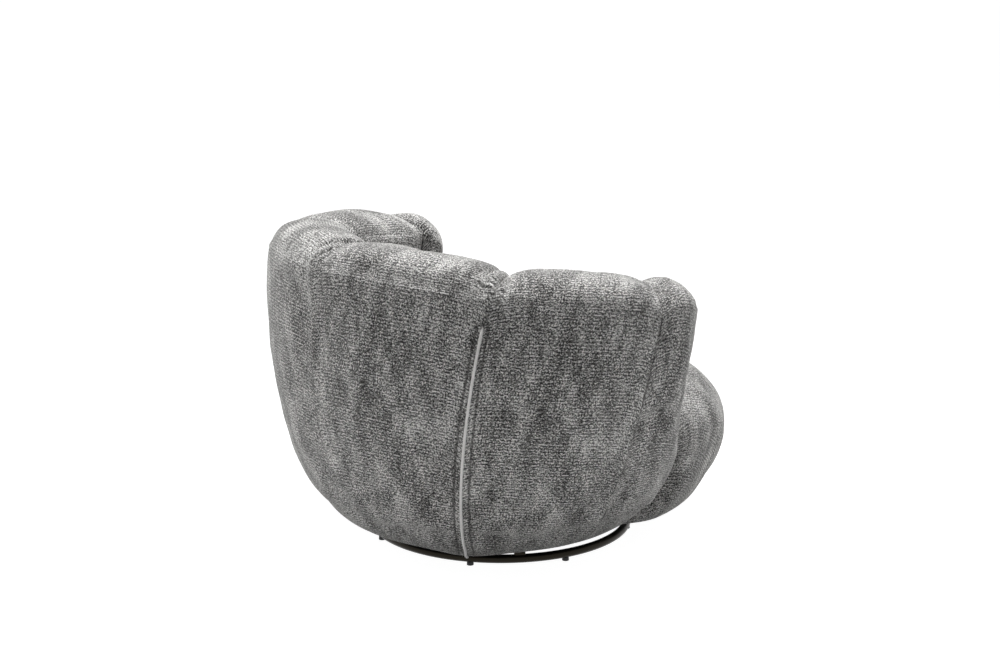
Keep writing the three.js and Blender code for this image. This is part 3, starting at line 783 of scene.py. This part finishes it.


# Cloth simulation: a coarse copy of each cover is blown up from a slightly smaller start, and its finer
# movement is carried over to the fine cover.

inflation = {
    "coarseStep": 3,  # rows and columns of the fine cover for one of the coarse copy
    "startInset": 0.006,
    "slack": 0.04,
    "pressure": 4,
    "lastFrame": 20,
    "broadCells": 9,
    "broadKept": 0.12,  # the padding holds back most of the broad swelling
    "cap": 0.006,  # most that a point moves
    "quality": 6,
    "mass": 0.3,
    "stretch": 15,
    "shear": 5,
    "bending": 0.15,
}


def coarseIndices(count):
    return np.round(np.linspace(0, count - 1, (count - 1) // inflation["coarseStep"] + 1)).astype(int)


def coarseCover(name, start, normals, held, slack):
    bm, order = newGrid(start.shape[0] - 1, start.shape[1] - 1)
    for vert, index in zip(bm.verts, order):
        vert.co = start[index]
    bm.normal_update()
    if sum(vert.normal.dot(Vector(normals[index])) for vert, index in zip(bm.verts, order)) < 0:
        bmesh.ops.reverse_faces(bm, faces=bm.faces)
    mesh = bpy.data.meshes.new(name)
    bm.to_mesh(mesh)
    bm.free()
    balloon = bpy.data.objects.new(name, mesh)
    bpy.context.collection.objects.link(balloon)
    sewn = balloon.vertex_groups.new(name="sewn")
    for number, index in enumerate(order):
        sewn.add([number], float(held[index]), "REPLACE")
    modifier = balloon.modifiers.new("Cloth", "CLOTH")
    cloth = modifier.settings
    cloth.quality = inflation["quality"]
    cloth.mass = inflation["mass"]
    cloth.tension_stiffness = cloth.compression_stiffness = inflation["stretch"]
    cloth.shear_stiffness = inflation["shear"]
    cloth.bending_stiffness = inflation["bending"]
    cloth.vertex_group_mass = "sewn"
    cloth.shrink_min = -slack
    cloth.use_pressure = True
    cloth.uniform_pressure_force = inflation["pressure"]
    cloth.effector_weights.gravity = 0
    modifier.collision_settings.use_collision = False
    return balloon, order


def spreadOut(values, indices, count):
    # carries coarse rows over to all rows, along the first axis
    flat = values.reshape(len(indices), -1)
    full = np.stack([np.interp(np.arange(count), indices, column) for column in flat.T], axis=1)
    return evened(full.reshape(count, *values.shape[1:]), inflation["coarseStep"])


def inflateCover(name, points, normals, held, slack):
    # how far each point of a cover's grid moves; held is 1 where the cover is sewn or pressed down
    columnIndices, rowIndices = coarseIndices(points.shape[0]), coarseIndices(points.shape[1])
    chosen = np.ix_(columnIndices, rowIndices)
    coarse, coarseHeld = points[chosen], held[chosen]
    start = coarse - normals[chosen] * (inflation["startInset"] * (1 - coarseHeld))[..., None]
    balloon, order = coarseCover(name, start, normals[chosen], coarseHeld, slack)
    scene = bpy.context.scene
    for number in range(1, inflation["lastFrame"] + 1):
        scene.frame_set(number)
    blown = balloon.evaluated_get(bpy.context.evaluated_depsgraph_get()).data
    moved = np.zeros_like(coarse)
    for vert, index in zip(blown.vertices, order):
        moved[index] = np.array(vert.co) - coarse[index]
    mesh = balloon.data
    bpy.data.objects.remove(balloon)
    bpy.data.meshes.remove(mesh)
    scene.frame_set(1)
    size = np.linalg.norm(moved, axis=-1, keepdims=True)
    most, average = float(size.max()) * 1000, float(size.mean()) * 1000
    print(name, "moved up to", round(most, 1), "mm, on average", round(average, 1))
    moved = moved - evenedBothWays(moved, inflation["broadCells"]) * (1 - inflation["broadKept"])
    size = np.linalg.norm(moved, axis=-1, keepdims=True)
    moved = moved * np.minimum(1, inflation["cap"] / np.maximum(size, 1e-9))
    moved = spreadOut(moved, columnIndices, points.shape[0])
    moved = np.swapaxes(spreadOut(np.swapaxes(moved, 0, 1), rowIndices, points.shape[1]), 0, 1)
    return moved * (1 - held)[..., None]


# Wall cushions

wallCover = {
    "columns": {"back": 116, "side": 116, "arm": 72},
    "bumpSizes": (0.17, 0.055),
    "edgeFade": 0.16,  # bumps fade out over this share of a back or side cushion beside its creases
    "footFade": 0.05,
    "sewnFrom": 0.90,  # sewn along the creases
    "sewnOver": 0.07,
    "footTop": 0.12,  # held at the foot
    "footOver": 0.04,
    "seatTop": 0.46,  # pressed by the seat cushion on the inside
    "seatOver": 0.06,
    "frontFrom": 0.45,  # held round the arms' front ends
    "frontOver": 0.3,
    "softening": 0.007,  # the back cushions' shoulders are rounder
    "softeningAt": 0.22,
    "softeningOver": 0.26,
    "gatherEnd": 1.4,  # in the wall's section places, where the pleats end on the inside of the crown
    "valleyShade": 0.5,  # painted shade in the creases between the gathers
    "valleyWidth": 0.0035,
    "valleyFrom": 0.2,
    "clothShift": 3.7,  # the left cushions come from another stretch of the cloth
}


def heldDown(part, along, place, height):
    # 1 where a cover is sewn or pressed down, and 0 where it moves freely
    sewn = ramp(np.abs(along), wallCover["sewnFrom"], wallCover["sewnOver"])[:, None]
    atFoot = ramp(height, wallCover["footTop"], -wallCover["footOver"])
    pressed = ramp(height, wallCover["seatTop"], -wallCover["seatOver"]) * (place > 2)[None, :]
    held = np.maximum(np.maximum(sewn, atFoot), pressed)
    if part == "arm":
        held = np.maximum(held, ramp(along, wallCover["frontFrom"], wallCover["frontOver"])[:, None])
    return held


def fromColumn(lengthAlong, column):
    # how far each point lies from one column of the cover
    return np.abs(lengthAlong - lengthAlong[column][None, :])


blownCovers = {}  # each is simulated once, for the left side, and mirrored for the right


def makeWallCushion(side, number, name):
    part = cushionParts[number]
    columns = wallCover["columns"][part]
    along = np.sin(np.pi / 2 * np.linspace(-1, 1, columns + 1))
    place = sectionPlaces()
    points = wallSurface(side, number, along, place)
    crestRow = wall["lowerRows"] + wall["crownRows"] // 2
    lengthDown = lengthsAlong(points, 1, crestRow)
    lengthAlong = lengthsAlong(points, 0, columns // 2)
    normals = surfaceNormals(points) * side
    outside = np.s_[:, :wall["lowerRows"]]
    facing = np.einsum("ijk,ijk->ij", normals[outside], points[outside] * (1, 1, 0))
    normals = normals * np.sign(facing.mean())
    # shifts fade out at the foot and in the crease walls
    height = points[..., 2]
    overFoot = ramp(height, wall["foot"], wallCover["footFade"])
    visible = np.ones_like(along)[:, None]
    if part != "arm":
        visible = ramp(np.abs(along), 1, -wallCover["edgeFade"])[:, None]
    seed = np.array((3 * number + 1, 7, 2))
    mirrored = points * (side, 1, 1)
    shift = softBumps(mirrored, wallCover["bumpSizes"], (seed, seed + 5)) * visible * overFoot
    if number not in blownCovers:
        held = heldDown(part, along, place, height)
        blownCovers[number] = inflateCover(
            part + "Cover", mirrored, normals * (side, 1, 1), held, inflation["slack"])
    points = points + blownCovers[number] * (side, 1, 1)
    paintedShade = np.zeros_like(shift)
    if part == "back":
        shoulder = np.exp(-((place - wallCover["softeningAt"]) / wallCover["softeningOver"]) ** 2)
        shift = shift - wallCover["softening"] * visible * shoulder[None, :]
    for end, column in ((-1, 0), (1, -1)):
        gather = gathers.get((part, end))
        if gather is None or gather.get("onlySide", side) != side:
            continue
        fromEnd = fromColumn(lengthAlong, column)
        pleats, pleatShade = pleatShift(gather, fromEnd, lengthDown, column, place)
        onCrown = (place < wallCover["gatherEnd"])[None, :]
        shift = shift + pleats * onCrown
        # painted shade down the middle of the crease, and in the pleats' grooves
        valleyShade = wallCover["valleyShade"] * np.exp(-(fromEnd / wallCover["valleyWidth"]) ** 2)
        valleyShade = valleyShade * (place > wallCover["valleyFrom"])[None, :]
        paintedShade = np.maximum(paintedShade, np.maximum(pleatShade * onCrown, valleyShade))
    if part != "arm":
        fromSeam = fromColumn(lengthAlong, -1 if part == "back" else 0)
        band = np.exp(-(fromSeam / seam["bandWidth"]) ** 4) * (place[None, :] < seam["bandTop"])
        stitchLine = np.exp(-((fromSeam - stitchOut(place)[None, :]) / seam["dipWidth"]) ** 2)
        stitchLine = stitchLine * (place[None, :] < seam["top"])
        shift = shift - (seam["band"] * band + seam["dip"] * stitchLine) * overFoot
        # painted shade along the stitch lines, on top of the dip in the cover
        paintedShade = np.maximum(paintedShade, stitchLine)
    points = points + normals * shift[..., None]
    clothShift = wallCover["clothShift"] if side > 0 else 0
    bm = clothGrid(points, lengthAlong + clothShift, lengthDown, paintedShade)
    piece = newPiece(name, bm, chenilleCloth, "tub")
    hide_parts(name)


for sideName, side in (("left", 1), ("right", -1)):
    for number, part in enumerate(cushionParts):
        makeWallCushion(side, number, f"{part}_cushion_{sideName}")
print("wall cushions made")


# Seat cushion

seat = {
    "frontHalfWidth": 0.440,
    "backHalfWidth": 0.388,
    "backReach": 0.360,
    "frontReach": 0.507,
    "outlinePower": 2.35,
    "edgeHeight": 0.401,
    "crown": 0.022,
    "bellyHeight": 0.271,
    "roll": 0.190,
    "rollPower": 1.71,
    "undercut": 0.117,
    "undercutPower": 1.86,
    "widening": 0.35,
    "sides": 220,
    "lowerRows": 36,
    "rollRows": 46,
    "crownRows": 30,
    "clearOfWall": 0.003,
    "wallPast": 4,  # degrees past the arm's front end up to which the wall holds the seat in
    "wallFade": 10,
    "footFill": 14,  # degrees that this ends earlier at the foot, so that the seat fills the corner there
    "footFillPower": 6,
    "tubFront": -0.36,  # the cover is held between the arms, up to a height,
    "tubFade": 0.06,
    "tubTop": 0.405,
    "tubTopFade": 0.02,
    "heldTop": 0.11,  # and all round at the foot
    "heldOver": 0.04,
    "slack": 0.035,
    "bumpSizes": (0.15, 0.05),
    "bumpSeeds": ((2.0, 9.0, 4.0), (8.0, 1.0, 6.0)),
    "bumpsFrom": 0.06,
    "bumpsOver": 0.05,
    "mapReach": 9,  # columns that the cloth map is evened over, beside the arms
}


def bent(value, power):
    return np.sign(value) * np.abs(value) ** (2 / power)


def seatSide():
    # heights and insets from the foot up to the rim
    low = np.linspace(0, np.pi / 2, seat["lowerRows"], endpoint=False)
    high = np.linspace(0, np.pi / 2, seat["rollRows"])
    belly = seat["bellyHeight"]
    heights = np.concatenate([
        belly - (belly - wall["foot"]) * bent(np.cos(low), seat["undercutPower"]),
        belly + (seat["edgeHeight"] - belly) * bent(np.sin(high), seat["rollPower"])])
    insets = np.concatenate([
        seat["undercut"] * (1 - bent(np.sin(low), seat["undercutPower"])),
        seat["roll"] * (1 - bent(np.cos(high), seat["rollPower"]))])
    return heights, insets


def seatOutline(turn, inset):
    forward = np.maximum(0, -np.sin(turn))
    reach = np.where(forward > 0, seat["frontReach"], seat["backReach"])
    share = ramp(forward, 0, seat["widening"])
    halfWidth = lerp(seat["backHalfWidth"], seat["frontHalfWidth"], eased(share))
    x = (halfWidth - inset) * bent(np.cos(turn), seat["outlinePower"])
    y = wall["centreY"] + (reach - inset) * bent(np.sin(turn), seat["outlinePower"])
    return x, y


def insideWall(x, y, height):
    # draws a point in to where the wall's inner face leaves room for it
    offset = innerOffset(height)
    centreY = wall["centreY"] + wall["footSetBack"] * (1 - wallRise(height))
    halfWidth = wall["crestHalfWidth"] + offset - seat["clearOfWall"]
    halfDepth = wall["crestHalfDepth"] + offset - seat["clearOfWall"]
    inReach = np.sqrt((x / halfWidth) ** 2 + ((y - centreY) / halfDepth) ** 2)
    degrees = np.degrees(np.arctan2(np.abs(x) / halfWidth, (y - centreY) / halfDepth))
    rise = wallRise(height)
    holdEnd = armEndAngle(rise) + seat["wallPast"] - seat["footFill"] * (1 - rise) ** seat["footFillPower"]
    hold = eased(ramp(degrees, holdEnd, -seat["wallFade"]))
    shrink = np.where(inReach > 1, lerp(1, 1 / np.maximum(inReach, 1), hold), 1)
    return x * shrink, centreY + (y - centreY) * shrink


def seatPoints(turn):
    # rows from the foot over the rim to the middle of the top, and the number of the rim's row
    heights, insets = seatSide()
    rows = []
    for height, inset in zip(heights, insets):
        x, y = seatOutline(turn, inset)
        rows.append((x, y, np.full(turn.size, height)))
    rimX, rimY = rows[-1][:2]
    for share in np.linspace(1, 0, seat["crownRows"] + 1)[1:-1]:
        x, y = rimX * share, wall["centreY"] + (rimY - wall["centreY"]) * share
        rows.append((x, y, np.full(turn.size, seat["edgeHeight"] + seat["crown"] * (1 - share * share))))
    return np.stack([np.stack(insideWall(x, y, z) + (z,), axis=-1) for x, y, z in rows]), len(heights) - 1


def seatMap(points, rimRow):
    # cloth map: flat on the top, and rolled out from the rim down the sides
    outLength = evenedRound(-lengthsAlong(points, 0, rimRow).T, seat["mapReach"]).T
    rim = points[rimRow]
    tangent = evenedRound(np.roll(rim, -1, 0) - np.roll(rim, 1, 0), seat["mapReach"])
    outX, outY = tangent[:, 1], -tangent[:, 0]
    size = np.hypot(outX, outY)
    mapX = np.where(outLength > 0, rim[None, :, 0] + outX / size * outLength, points[..., 0])
    mapY = np.where(outLength > 0, rim[None, :, 1] + outY / size * outLength, points[..., 1])
    return mapX, mapY


def extrudedRings(bm, sides, count):
    # rings of points, each extruded from the one before, all starting on the +X side
    ring = bmesh.ops.create_circle(bm, cap_ends=False, segments=sides, radius=1)["verts"]
    first = sorted(ring, key=lambda vert: math.atan2(vert.co.y, vert.co.x) % (2 * math.pi))
    if first[-1].co.y > -1e-6:
        first = first[-1:] + first[:-1]
    rings = [first]
    while len(rings) < count:
        before = {vert: i for i, vert in enumerate(rings[-1])}
        edges = [edge for edge in bm.edges if edge.verts[0] in before and edge.verts[1] in before]
        made = bmesh.ops.extrude_edge_only(bm, edges=edges)["geom"]
        after = [None] * sides
        for vert in (item for item in made if isinstance(item, bmesh.types.BMVert)):
            for edge in vert.link_edges:
                other = edge.other_vert(vert)
                if other in before:
                    after[before[other]] = vert
        rings.append(after)
    return rings


def makeSeat():
    sides = seat["sides"]
    points, rimRow = seatPoints(np.arange(sides) * 2 * np.pi / sides)
    mapX, mapY = seatMap(points, rimRow)
    normals = surfaceNormals(np.concatenate([points, points[:, :1]], axis=1))[:, :-1]
    if (normals[rimRow:, :, 2]).mean() < 0:
        normals = -normals
    inTub = ramp(points[..., 1], seat["tubFront"], seat["tubFade"])
    inTub = inTub * ramp(points[..., 2], seat["tubTop"], -seat["tubTopFade"])
    held = np.maximum(inTub, ramp(points[..., 2], seat["heldTop"], -seat["heldOver"]))
    held[:, 0] = held[:, -1] = 1
    points = points + inflateCover("seatCover", points, normals, held, seat["slack"])
    bumps = softBumps(points, seat["bumpSizes"], np.array(seat["bumpSeeds"]))
    bumps = bumps * ramp(points[..., 2], seat["bumpsFrom"], seat["bumpsOver"])
    points = points + normals * bumps[..., None]

    bm = bmesh.new()
    cloth = bm.loops.layers.uv.new("cloth")
    rings = extrudedRings(bm, sides, len(points))
    mapped = {}
    for row, verts in enumerate(rings):
        for i, vert in enumerate(verts):
            vert.co = points[row, i]
            mapped[vert] = (mapX[row, i], mapY[row, i])
    centre = bm.verts.new((0, wall["centreY"], float(points[-1, :, 2].mean())))
    mapped[centre] = (0, wall["centreY"])
    last = rings[-1]
    for i in range(sides):
        bm.faces.new((last[i], last[(i + 1) % sides], centre))
    bottom = bm.faces.new(list(reversed(rings[0])))
    bmesh.ops.triangulate(bm, faces=[bottom])
    for face in bm.faces:
        for loop in face.loops:
            x, y = mapped[loop.vert]
            loop[cloth].uv = (y, x)  # the rows run from back to front
    piece = newPiece("seat_cushion", bm, chenilleCloth, "tub")
    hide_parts("seat_cushion")


makeSeat()
print("seat cushion made")


# Closing seams: a piped welt with a row of stitches on both sides

def tubeAlong(bm, path, radius, sides=12):
    rings = []
    for i, point in enumerate(path):
        isEnd = i in (0, len(path) - 1)
        ahead = (path[min(i + 1, len(path) - 1)] - path[max(i - 1, 0)]).normalized()
        place = Matrix.Translation(point) @ ahead.to_track_quat("Z", "Y").to_matrix().to_4x4()
        size = radius * (seam["endShrink"] if isEnd else 1)
        made = bmesh.ops.create_circle(bm, cap_ends=isEnd, segments=sides, radius=size, matrix=place)
        rings.append(made["verts"])
    bridgeRings(bm, rings)


def seamPoints(side, fromSeam, proud, places):
    # points beside the seam, on the back cushion where fromSeam is below 0 and on the side cushion above
    offset, height, normalX, normalZ = wallSection(wall["creases"][1], places)[:4]
    inset = np.interp(places, *zip(*outerDepths[1])) - proud
    across = offset + normalX * inset
    level = height + normalZ * inset
    degrees = creaseAngle(1, height, offset) + np.degrees(fromSeam / (wall["crestHalfDepth"] + offset))
    return [Vector(point) for point in wallPoints(side, degrees, across, level)]


def addClothMap(bm):
    cloth = bm.loops.layers.uv.verify()
    for face in bm.faces:
        for loop in face.loops:
            loop[cloth].uv = (loop.vert.co.x + loop.vert.co.y, loop.vert.co.z)


def makeSeam(side, name):
    places = np.linspace(seam["top"], seam["bottom"], seam["pointCount"])
    path = seamPoints(side, 0, seam["proud"], places)
    bm = bmesh.new()
    bm.loops.layers.uv.new("cloth")
    tubeAlong(bm, path, seam["weltRadius"])
    addClothMap(bm)
    welt = newPiece(name, bm, pipingPaintedHighlight, "tub")
    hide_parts(name)

    bm = bmesh.new()
    bm.loops.layers.uv.new("cloth")
    fine = np.linspace(seam["top"], seam["bottom"], seam["finePoints"])
    for sign in (-1, 1):
        line = seamPoints(side, sign * stitchOut(fine), -seam["stitchSunk"], fine)
        travelled = 0
        nextStart = 0
        start = None
        for before, after in zip(line, line[1:]):
            travelled += (after - before).length
            if start is None and travelled >= nextStart:
                start = after
                nextStart = travelled + seam["stitchPitch"]
            elif start is not None and (after - start).length >= seam["stitchLength"]:
                middle = (start + after) / 2
                tubeAlong(bm, [start, middle, after], seam["stitchRadius"], sides=6)
                start = None
    addClothMap(bm)
    stitches = newPiece(name.replace("closing_welt", "topstitching"), bm, threadCloth, "tub")


for sideName, side in (("left", 1), ("right", -1)):
    makeSeam(side, f"closing_welt_{sideName}")
print("seams made")


# Floor ring, cross arms and glides

base = {
    "turn": 150,  # degrees that the base stands turned under the seat
    "ringRadius": 0.300,
    "ringSteps": 180,
    "mergeReach": 0.00002,  # where the ring's ends meet
    "tubeRadius": 0.010,
    "tubeSides": 28,
    "ringHeight": 0.017,
    "armWidth": 0.025,
    "armThickness": 0.008,
    "armReach": 0.310,
    "armBottom": 0.0274,
    "armGap": 0.0004,  # between the long arm and both halves
    "glideRadius": 0.008,
    "glideTop": 0.93,  # share of the radius
    "glideHeight": 0.009,
    "glideAngles": (21.3, 75, 157.5),  # degrees on both sides of the long arm
    "rounding": 0.0012,
}


def makeRing():
    bm = bmesh.new()
    place = Matrix.Translation((base["ringRadius"], 0, base["ringHeight"]))
    upright = place @ Matrix.Rotation(math.pi / 2, 4, "X")
    made = bmesh.ops.create_circle(
        bm, cap_ends=False, segments=base["tubeSides"], radius=base["tubeRadius"], matrix=upright)
    section = made["verts"] + list({edge for vert in made["verts"] for edge in vert.link_edges})
    bmesh.ops.spin(
        bm, geom=section, cent=(0, 0, 0), axis=(0, 0, 1), angle=2 * math.pi,
        steps=base["ringSteps"], use_merge=True)
    bmesh.ops.remove_doubles(bm, verts=bm.verts, dist=base["mergeReach"])
    ring = newPiece("floor_ring_tube", bm, powderCoat, "base")
    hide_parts("floor_ring")


def makeGlides():
    number = 1
    for offset in base["glideAngles"]:
        for sign in (1, -1):
            bm = bmesh.new()
            angle = math.radians(base["turn"] + sign * offset)
            x, y = base["ringRadius"] * math.cos(angle), base["ringRadius"] * math.sin(angle)
            bmesh.ops.create_cone(
                bm, cap_ends=True, segments=32, radius1=base["glideRadius"],
                radius2=base["glideRadius"] * base["glideTop"], depth=base["glideHeight"],
                matrix=Matrix.Translation((x, y, base["glideHeight"] / 2)))
            rims = [edge for edge in bm.edges if abs(edge.verts[0].co.z - edge.verts[1].co.z) < 1e-6]
            bevelEdges(bm, rims, base["rounding"])
            glide = newPiece(f"glide_{number}", bm, glidePlastic, "base")
            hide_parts(f"foot_glide_{number}")
            number += 1


def makeArm(name, node, length, start, turn):
    # a flat bar that runs out from the start along its own direction
    size = Matrix.Diagonal((length, base["armWidth"], base["armThickness"], 1))
    height = base["armBottom"] + base["armThickness"] / 2
    place = Matrix.Translation((start + length / 2, 0, height))
    bm = bmesh.new()
    bmesh.ops.create_cube(bm, size=1, matrix=Matrix.Rotation(turn, 4, "Z") @ place @ size)
    bevelEdges(bm, bm.edges[:], base["rounding"])
    arm = newPiece(name, bm, powderCoat, "base", smooth=False)
    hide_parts(node)


def makeArms():
    turn = math.radians(base["turn"])
    reach = base["armReach"]
    makeArm("long_cross_arm", "cross_arm_long", 2 * reach, -reach, turn)
    start = base["armWidth"] / 2 + base["armGap"]
    for node, quarter in (("cross_arm_half_a", math.pi / 2), ("cross_arm_half_b", -math.pi / 2)):
        makeArm(f"{node}_bar", node, reach - start, start, turn + quarter)


makeRing()
makeGlides()
makeArms()
print("base made")


# Dust cover, a thin cloth stapled under the board, with a square hole round the swivel

cover = {
    "halfWidth": 0.320,
    "backReach": 0.292,
    "frontReach": 0.442,
    "centreY": 0.054,
    "top": 0.0516,
    "hole": 0.200,
    "thickness": 0.0008,
    "sag": 0.0012,
    "sides": 96,
    "rings": (0, 0.25, 0.5, 0.75, 1),  # from the hole to the edge
}


def makeDustCover():
    bm = bmesh.new()
    rings = []
    half = cover["hole"] / 2
    for share in cover["rings"]:
        ring = bmesh.ops.create_circle(bm, cap_ends=False, segments=cover["sides"], radius=1)["verts"]
        height = cover["top"] - cover["thickness"] - cover["sag"] * math.sin(math.pi * share)
        for vert in ring:
            turn = math.atan2(vert.co.y, vert.co.x)
            across, along = math.cos(turn), math.sin(turn)
            reach = cover["backReach"] if along > 0 else cover["frontReach"]
            outX, outY = cover["halfWidth"] * across, cover["centreY"] + reach * along
            big = max(abs(across), abs(along))
            vert.co = (lerp(half * across / big, outX, share), lerp(half * along / big, outY, share), height)
        rings.append(ring)
    bridgeRings(bm, rings)
    bmesh.ops.recalc_face_normals(bm, faces=bm.faces)
    bmesh.ops.solidify(bm, geom=bm.faces[:], thickness=cover["thickness"])
    piece = newPiece("dust_cover_cloth", bm, dustCloth, "tub")
    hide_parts("dust_cover")


makeDustCover()
print("dust cover made")


# Inner pieces keep their own shapes and get their finishes

finishes = (
    (("base_board", "seat_hoop", "top_rail", "back_rib", "quarter_rib", "side_rib"), timber),
    (("webbing",), webbing),
    (("swivel", "bolt", "centre_pivot", "ball_cage", "bearing_ball"), zincPlate),
    (("cross_arm", "floor_ring"), powderCoat),
    (("foot_glide",), glidePlastic),
    (("cushion", "welt"), chenilleCloth),
    (("dust_cover",), dustCloth),
)
for name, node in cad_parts.items():
    for words, material in finishes:
        if any(word in name for word in words):
            node.data.materials.clear()
            node.data.materials.append(material)
print("inner pieces finished")


# Studio: pale floor and soft lamps, placed about the camera's own directions

studio = {
    "key": {"left": 3.6, "back": 1.0, "up": 2.6, "size": 2.6, "power": 36},
    "fill": {"left": -3.5, "back": 1.5, "up": 2.6, "size": 2.6, "power": 20},
    "top": {"left": 0.2, "back": 0.6, "up": 4.0, "size": 3.0, "power": 170},
    "aimHeight": 0.4,
    "world": 0.155,
    "floorSize": 14,
    "floorTone": (0.86, 0.86, 0.86, 1),
    "floorShare": 0.72,  # of the floor's white that glows by itself
    "floorGlow": 1.36,
}


def makeLamp(name, values):
    lamp = bpy.data.lights.new(name, "AREA")
    lamp.shape = "SQUARE"
    lamp.size = values["size"]
    lamp.energy = values["power"]
    lampObject = bpy.data.objects.new(name, lamp)
    place = -right * values["left"] + away * values["back"] + Vector((0, 0, values["up"]))
    aim = Vector((0, 0, studio["aimHeight"])) - place
    lampObject.matrix_world = Matrix.Translation(place) @ aim.to_track_quat("-Z", "Y").to_matrix().to_4x4()
    bpy.context.collection.objects.link(lampObject)


for lampName in ("key", "fill", "top"):
    makeLamp(lampName + "Lamp", studio[lampName])


def whiteForCamera(tree):
    # 1 for camera, glossy and transmission rays, for surfaces that show as the white backdrop
    rays = tree.nodes.new("ShaderNodeLightPath")
    seen = mathNode(tree, "MAXIMUM", rays.outputs["Is Camera Ray"], rays.outputs["Is Glossy Ray"])
    return mathNode(tree, "MAXIMUM", seen, rays.outputs["Is Transmission Ray"])


def makeStage():
    bm = bmesh.new()
    bmesh.ops.create_grid(bm, x_segments=1, y_segments=1, size=studio["floorSize"])
    mesh = bpy.data.meshes.new("studio_floor")
    bm.to_mesh(mesh)
    bm.free()
    floor = bpy.data.objects.new("studio_floor", mesh)
    bpy.context.collection.objects.link(floor)
    material, shader = newMaterial("studio_white")
    tree = material.node_tree
    shader.inputs["Base Color"].default_value = studio["floorTone"]
    shader.inputs["Roughness"].default_value = 0.9
    shader.inputs["Specular IOR Level"].default_value = 0
    glow = tree.nodes.new("ShaderNodeEmission")
    glow.inputs["Color"].default_value = (1, 1, 1, 1)
    glow.inputs["Strength"].default_value = studio["floorGlow"]
    mix = tree.nodes.new("ShaderNodeMixShader")
    output = next(node for node in tree.nodes if node.type == "OUTPUT_MATERIAL")
    tree.links.new(mathNode(tree, "MULTIPLY", whiteForCamera(tree), studio["floorShare"]), mix.inputs[0])
    tree.links.new(shader.outputs["BSDF"], mix.inputs[1])
    tree.links.new(glow.outputs["Emission"], mix.inputs[2])
    tree.links.new(mix.outputs["Shader"], output.inputs["Surface"])
    mesh.materials.append(material)

    world = bpy.data.worlds.new("studio_world")
    bpy.context.scene.world = world
    world.use_nodes = True
    tree = world.node_tree
    background = next(node for node in tree.nodes if node.type == "BACKGROUND")
    background.inputs["Color"].default_value = (1, 1, 1, 1)
    strength = mathNode(tree, "MULTIPLY_ADD", whiteForCamera(tree), 1 - studio["world"], studio["world"])
    tree.links.new(strength, background.inputs["Strength"])


makeStage()
bpy.context.scene.view_settings.view_transform = "Standard"
print("studio made")
